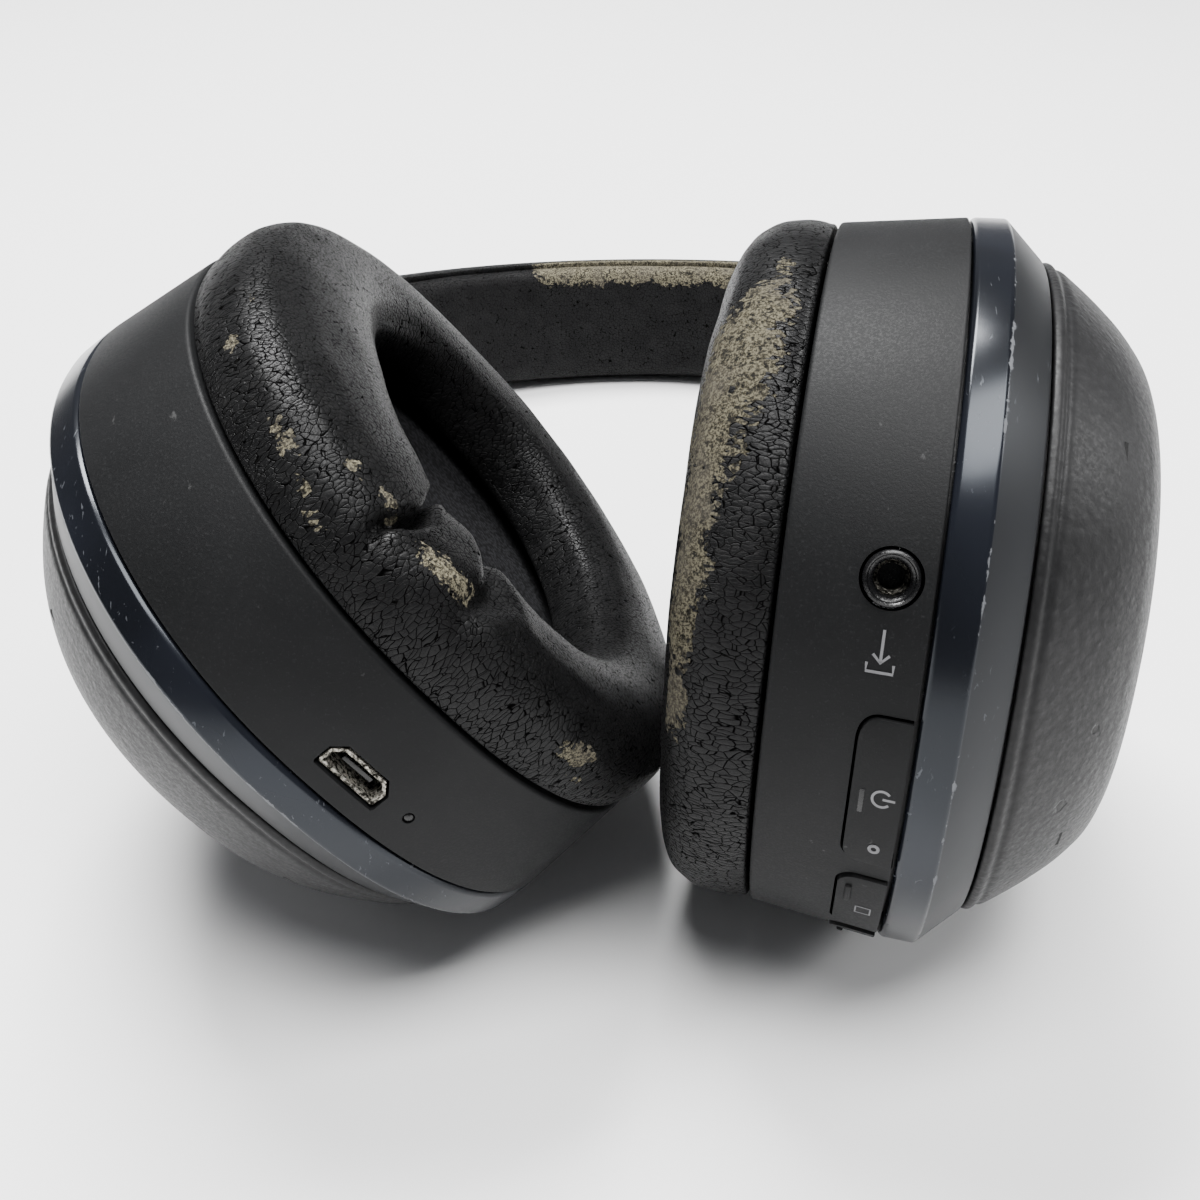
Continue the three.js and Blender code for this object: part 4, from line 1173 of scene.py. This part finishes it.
# Painted marks beside the jack socket, in mm
JACK_MARKS = {
    "jack_icon_line": [(0.0, -2.2), (0.0, 1.1)],
    "jack_icon_head": [(-0.8, 0.3), (0.0, 1.15), (0.8, 0.3)],
    "jack_icon_slot": [(-1.3, 1.2), (-1.3, 2.1), (1.3, 2.1), (1.3, 1.2)],
}


def jack():
    """The jack socket's bezel, its contact and the painted marks beside it."""
    matrix = wall_axes("left", JACK_TURN, SOCKET_DEPTH)
    profile = [
        (1.8, -8.5), (1.8, -0.55), (1.95, -0.3), (2.25, -0.1), (2.35, 0.25), (2.5, 0.38),
        (2.7, 0.3), (2.8, 0.05), (2.8, -9.5), (0.02, -9.5), (0.02, -8.5),
    ]
    piece = turned_piece("jack_bezel", matrix, profile, 64)
    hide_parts("jack_socket")
    dress(piece, "cup_left", "socket_plastic")
    contact = turned_piece("jack_contact", matrix, [(1.35, -6.5), (1.35, -3.2), (1.74, -2.8), (1.74, -6.5)])
    dress(contact, "cup_left", "dull_metal")
    plate = on_wall("left", JACK_TURN - 9.5, SOCKET_DEPTH, 0)
    for name, line in JACK_MARKS.items():
        dress(ribbon(name, plate, line, 0.28), "cup_left", "mark")


def usb():
    """The charging socket's shell and tongue, and the charge light."""
    matrix = wall_axes("right", USB_TURN, SOCKET_DEPTH)
    shell = usb_outline("usb_shell", matrix, 1.6, 4.05, -5.6, -0.25)
    carve(shell, [usb_outline("usb_hollow", matrix, 1.14, 3.56, -5.0, 1)])
    bevel(shell, 0.08)
    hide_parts("usb_socket")
    dress(shell, "cup_right", "dull_metal")
    tongue = block("usb_tongue", matrix, (-0.45, -5.0, -2.1), (0.15, -1.0, 2.1))
    bevel(tongue, 0.1)
    dress(tongue, "cup_right", "socket_plastic")
    profile = [(0.02, -3), (0.5, -3), (0.5, -0.1), (0.3, 0.02), (0.02, 0.05)]
    light = turned_piece("charge_lens", wall_axes("right", LIGHT_TURN, SOCKET_DEPTH), profile, 24)
    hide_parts("charge_light")
    dress(light, "cup_right", "socket_plastic")


MIC_SLITS = (("left", 242), ("left", 318), ("right", 250), ("right", 322))
SLIT_DEPTH, SLIT_INSET = COVER_START + 8.2 * MM, 10.05 * MM
COVER_SLOPE = (0.54, 0.84)


def mic_slits():
    """Small sound slits in the outer covers, each drawn as a near-black block: painted shade for the dark inside
    of the slit.
    """
    for side, degrees in MIC_SLITS:
        turn = math.radians(degrees)
        point = Vector(skin_point(turn, SLIT_DEPTH, SLIT_INSET))
        flat = Vector((0, point.y, point.z)).normalized()
        out = (flat * COVER_SLOPE[1] + Vector((COVER_SLOPE[0], 0, 0))).normalized()
        along = Vector((1, 0, 0)).cross(flat).normalized()
        matrix = CUPS[side] @ axes(out.cross(along), out, along, point)
        slit = block(f"mic_slit_{side}_{degrees}", matrix, (-0.22, -0.8, -1.2), (0.22, 0.05, 1.2))
        dress(slit, f"cup_{side}", "void")


# ---- build
# CAD nodes on each side shown with rounded edges: node, width of the edge in mm, body and look
ROUNDED_NODES = (
    ("hinge_block", 0.45, "slider", "dark_plastic"),
    ("fold_arm", 0.45, "arm", "dark_plastic"),
    ("yoke", 0.3, "yoke", "dark_plastic"),
    ("slider_strip", 0.12, "slider", "steel"),
    ("hinge_pin", 0.15, "slider", "steel"),
    ("swivel_washer", 0.1, "arm", "steel"),
)

band_shell()
band_cushion()
band_tongue("left", SLEEVE_TURN)
band_tongue("right", -SLEEVE_TURN)
for side in SIDES:
    ear_pad(side)
    housing(side)
    trim_ring(side)
    seam_rings(side)
    outer_cover(side)
    scrim(side)
    dress(refined(f"sleeve_{side}", f"end_sleeve_{side}", 0.5, 3), "headband", "dark_plastic")
    for node, width, body, look in ROUNDED_NODES:
        dress(refined(f"{node}_{side}_fine", f"{node}_{side}", width), f"{body}_{side}", look)
buttons()
jack()
usb()
mic_slits()

for entry in frame["record"]["subparts"]:
    slot = entry["material_slot"]
    paint_node(entry["node"], "shell_leather" if slot == "leather" else slot)


# ---- floor and light
FLOOR_HALF = 3.0
WORLD_COLOUR, WORLD_STRENGTH = (0.95, 0.96, 1.0, 1), 0.2
LAMP_TARGET = Vector((0, 0, 0.04))
# Area lamps: name, place and size in metres, power in watts
LAMPS = (
    ("key", (-0.2, 0.35, 0.95), (0.5, 0.3), 30),
    ("top", (0.1, -0.25, 1.0), (0.65, 0.5), 22),
    ("side", (0.9, 0.1, 0.45), (0.3, 0.3), 5),
)


def floor():
    data = bpy.data.meshes.new("floor")
    corners = [(x * FLOOR_HALF, y * FLOOR_HALF, 0) for x, y in ((-1, -1), (1, -1), (1, 1), (-1, 1))]
    data.from_pydata(corners, [], [(0, 1, 2, 3)])
    piece = new_object("floor", data)
    look = Look("floor")
    look.set(Base_Color=look.mix(look.noise(200, 2), (0.87, 0.87, 0.87), (0.90, 0.90, 0.90)), Roughness=0.9)
    data.materials.append(look.material)


def lamp(name, place, size, power):
    data = bpy.data.lights.new(name, "AREA")
    data.shape = "RECTANGLE"
    data.size, data.size_y = size
    data.energy = power
    piece = new_object(name, data)
    piece.location = place
    piece.rotation_euler = (LAMP_TARGET - Vector(place)).to_track_quat("-Z", "Y").to_euler()


def light():
    world = bpy.data.worlds.new("studio")
    world.use_nodes = True
    backdrop = world.node_tree.nodes["Background"]
    backdrop.inputs["Color"].default_value = WORLD_COLOUR
    backdrop.inputs["Strength"].default_value = WORLD_STRENGTH
    bpy.context.scene.world = world
    for entry in LAMPS:
        lamp(*entry)


floor()
light()
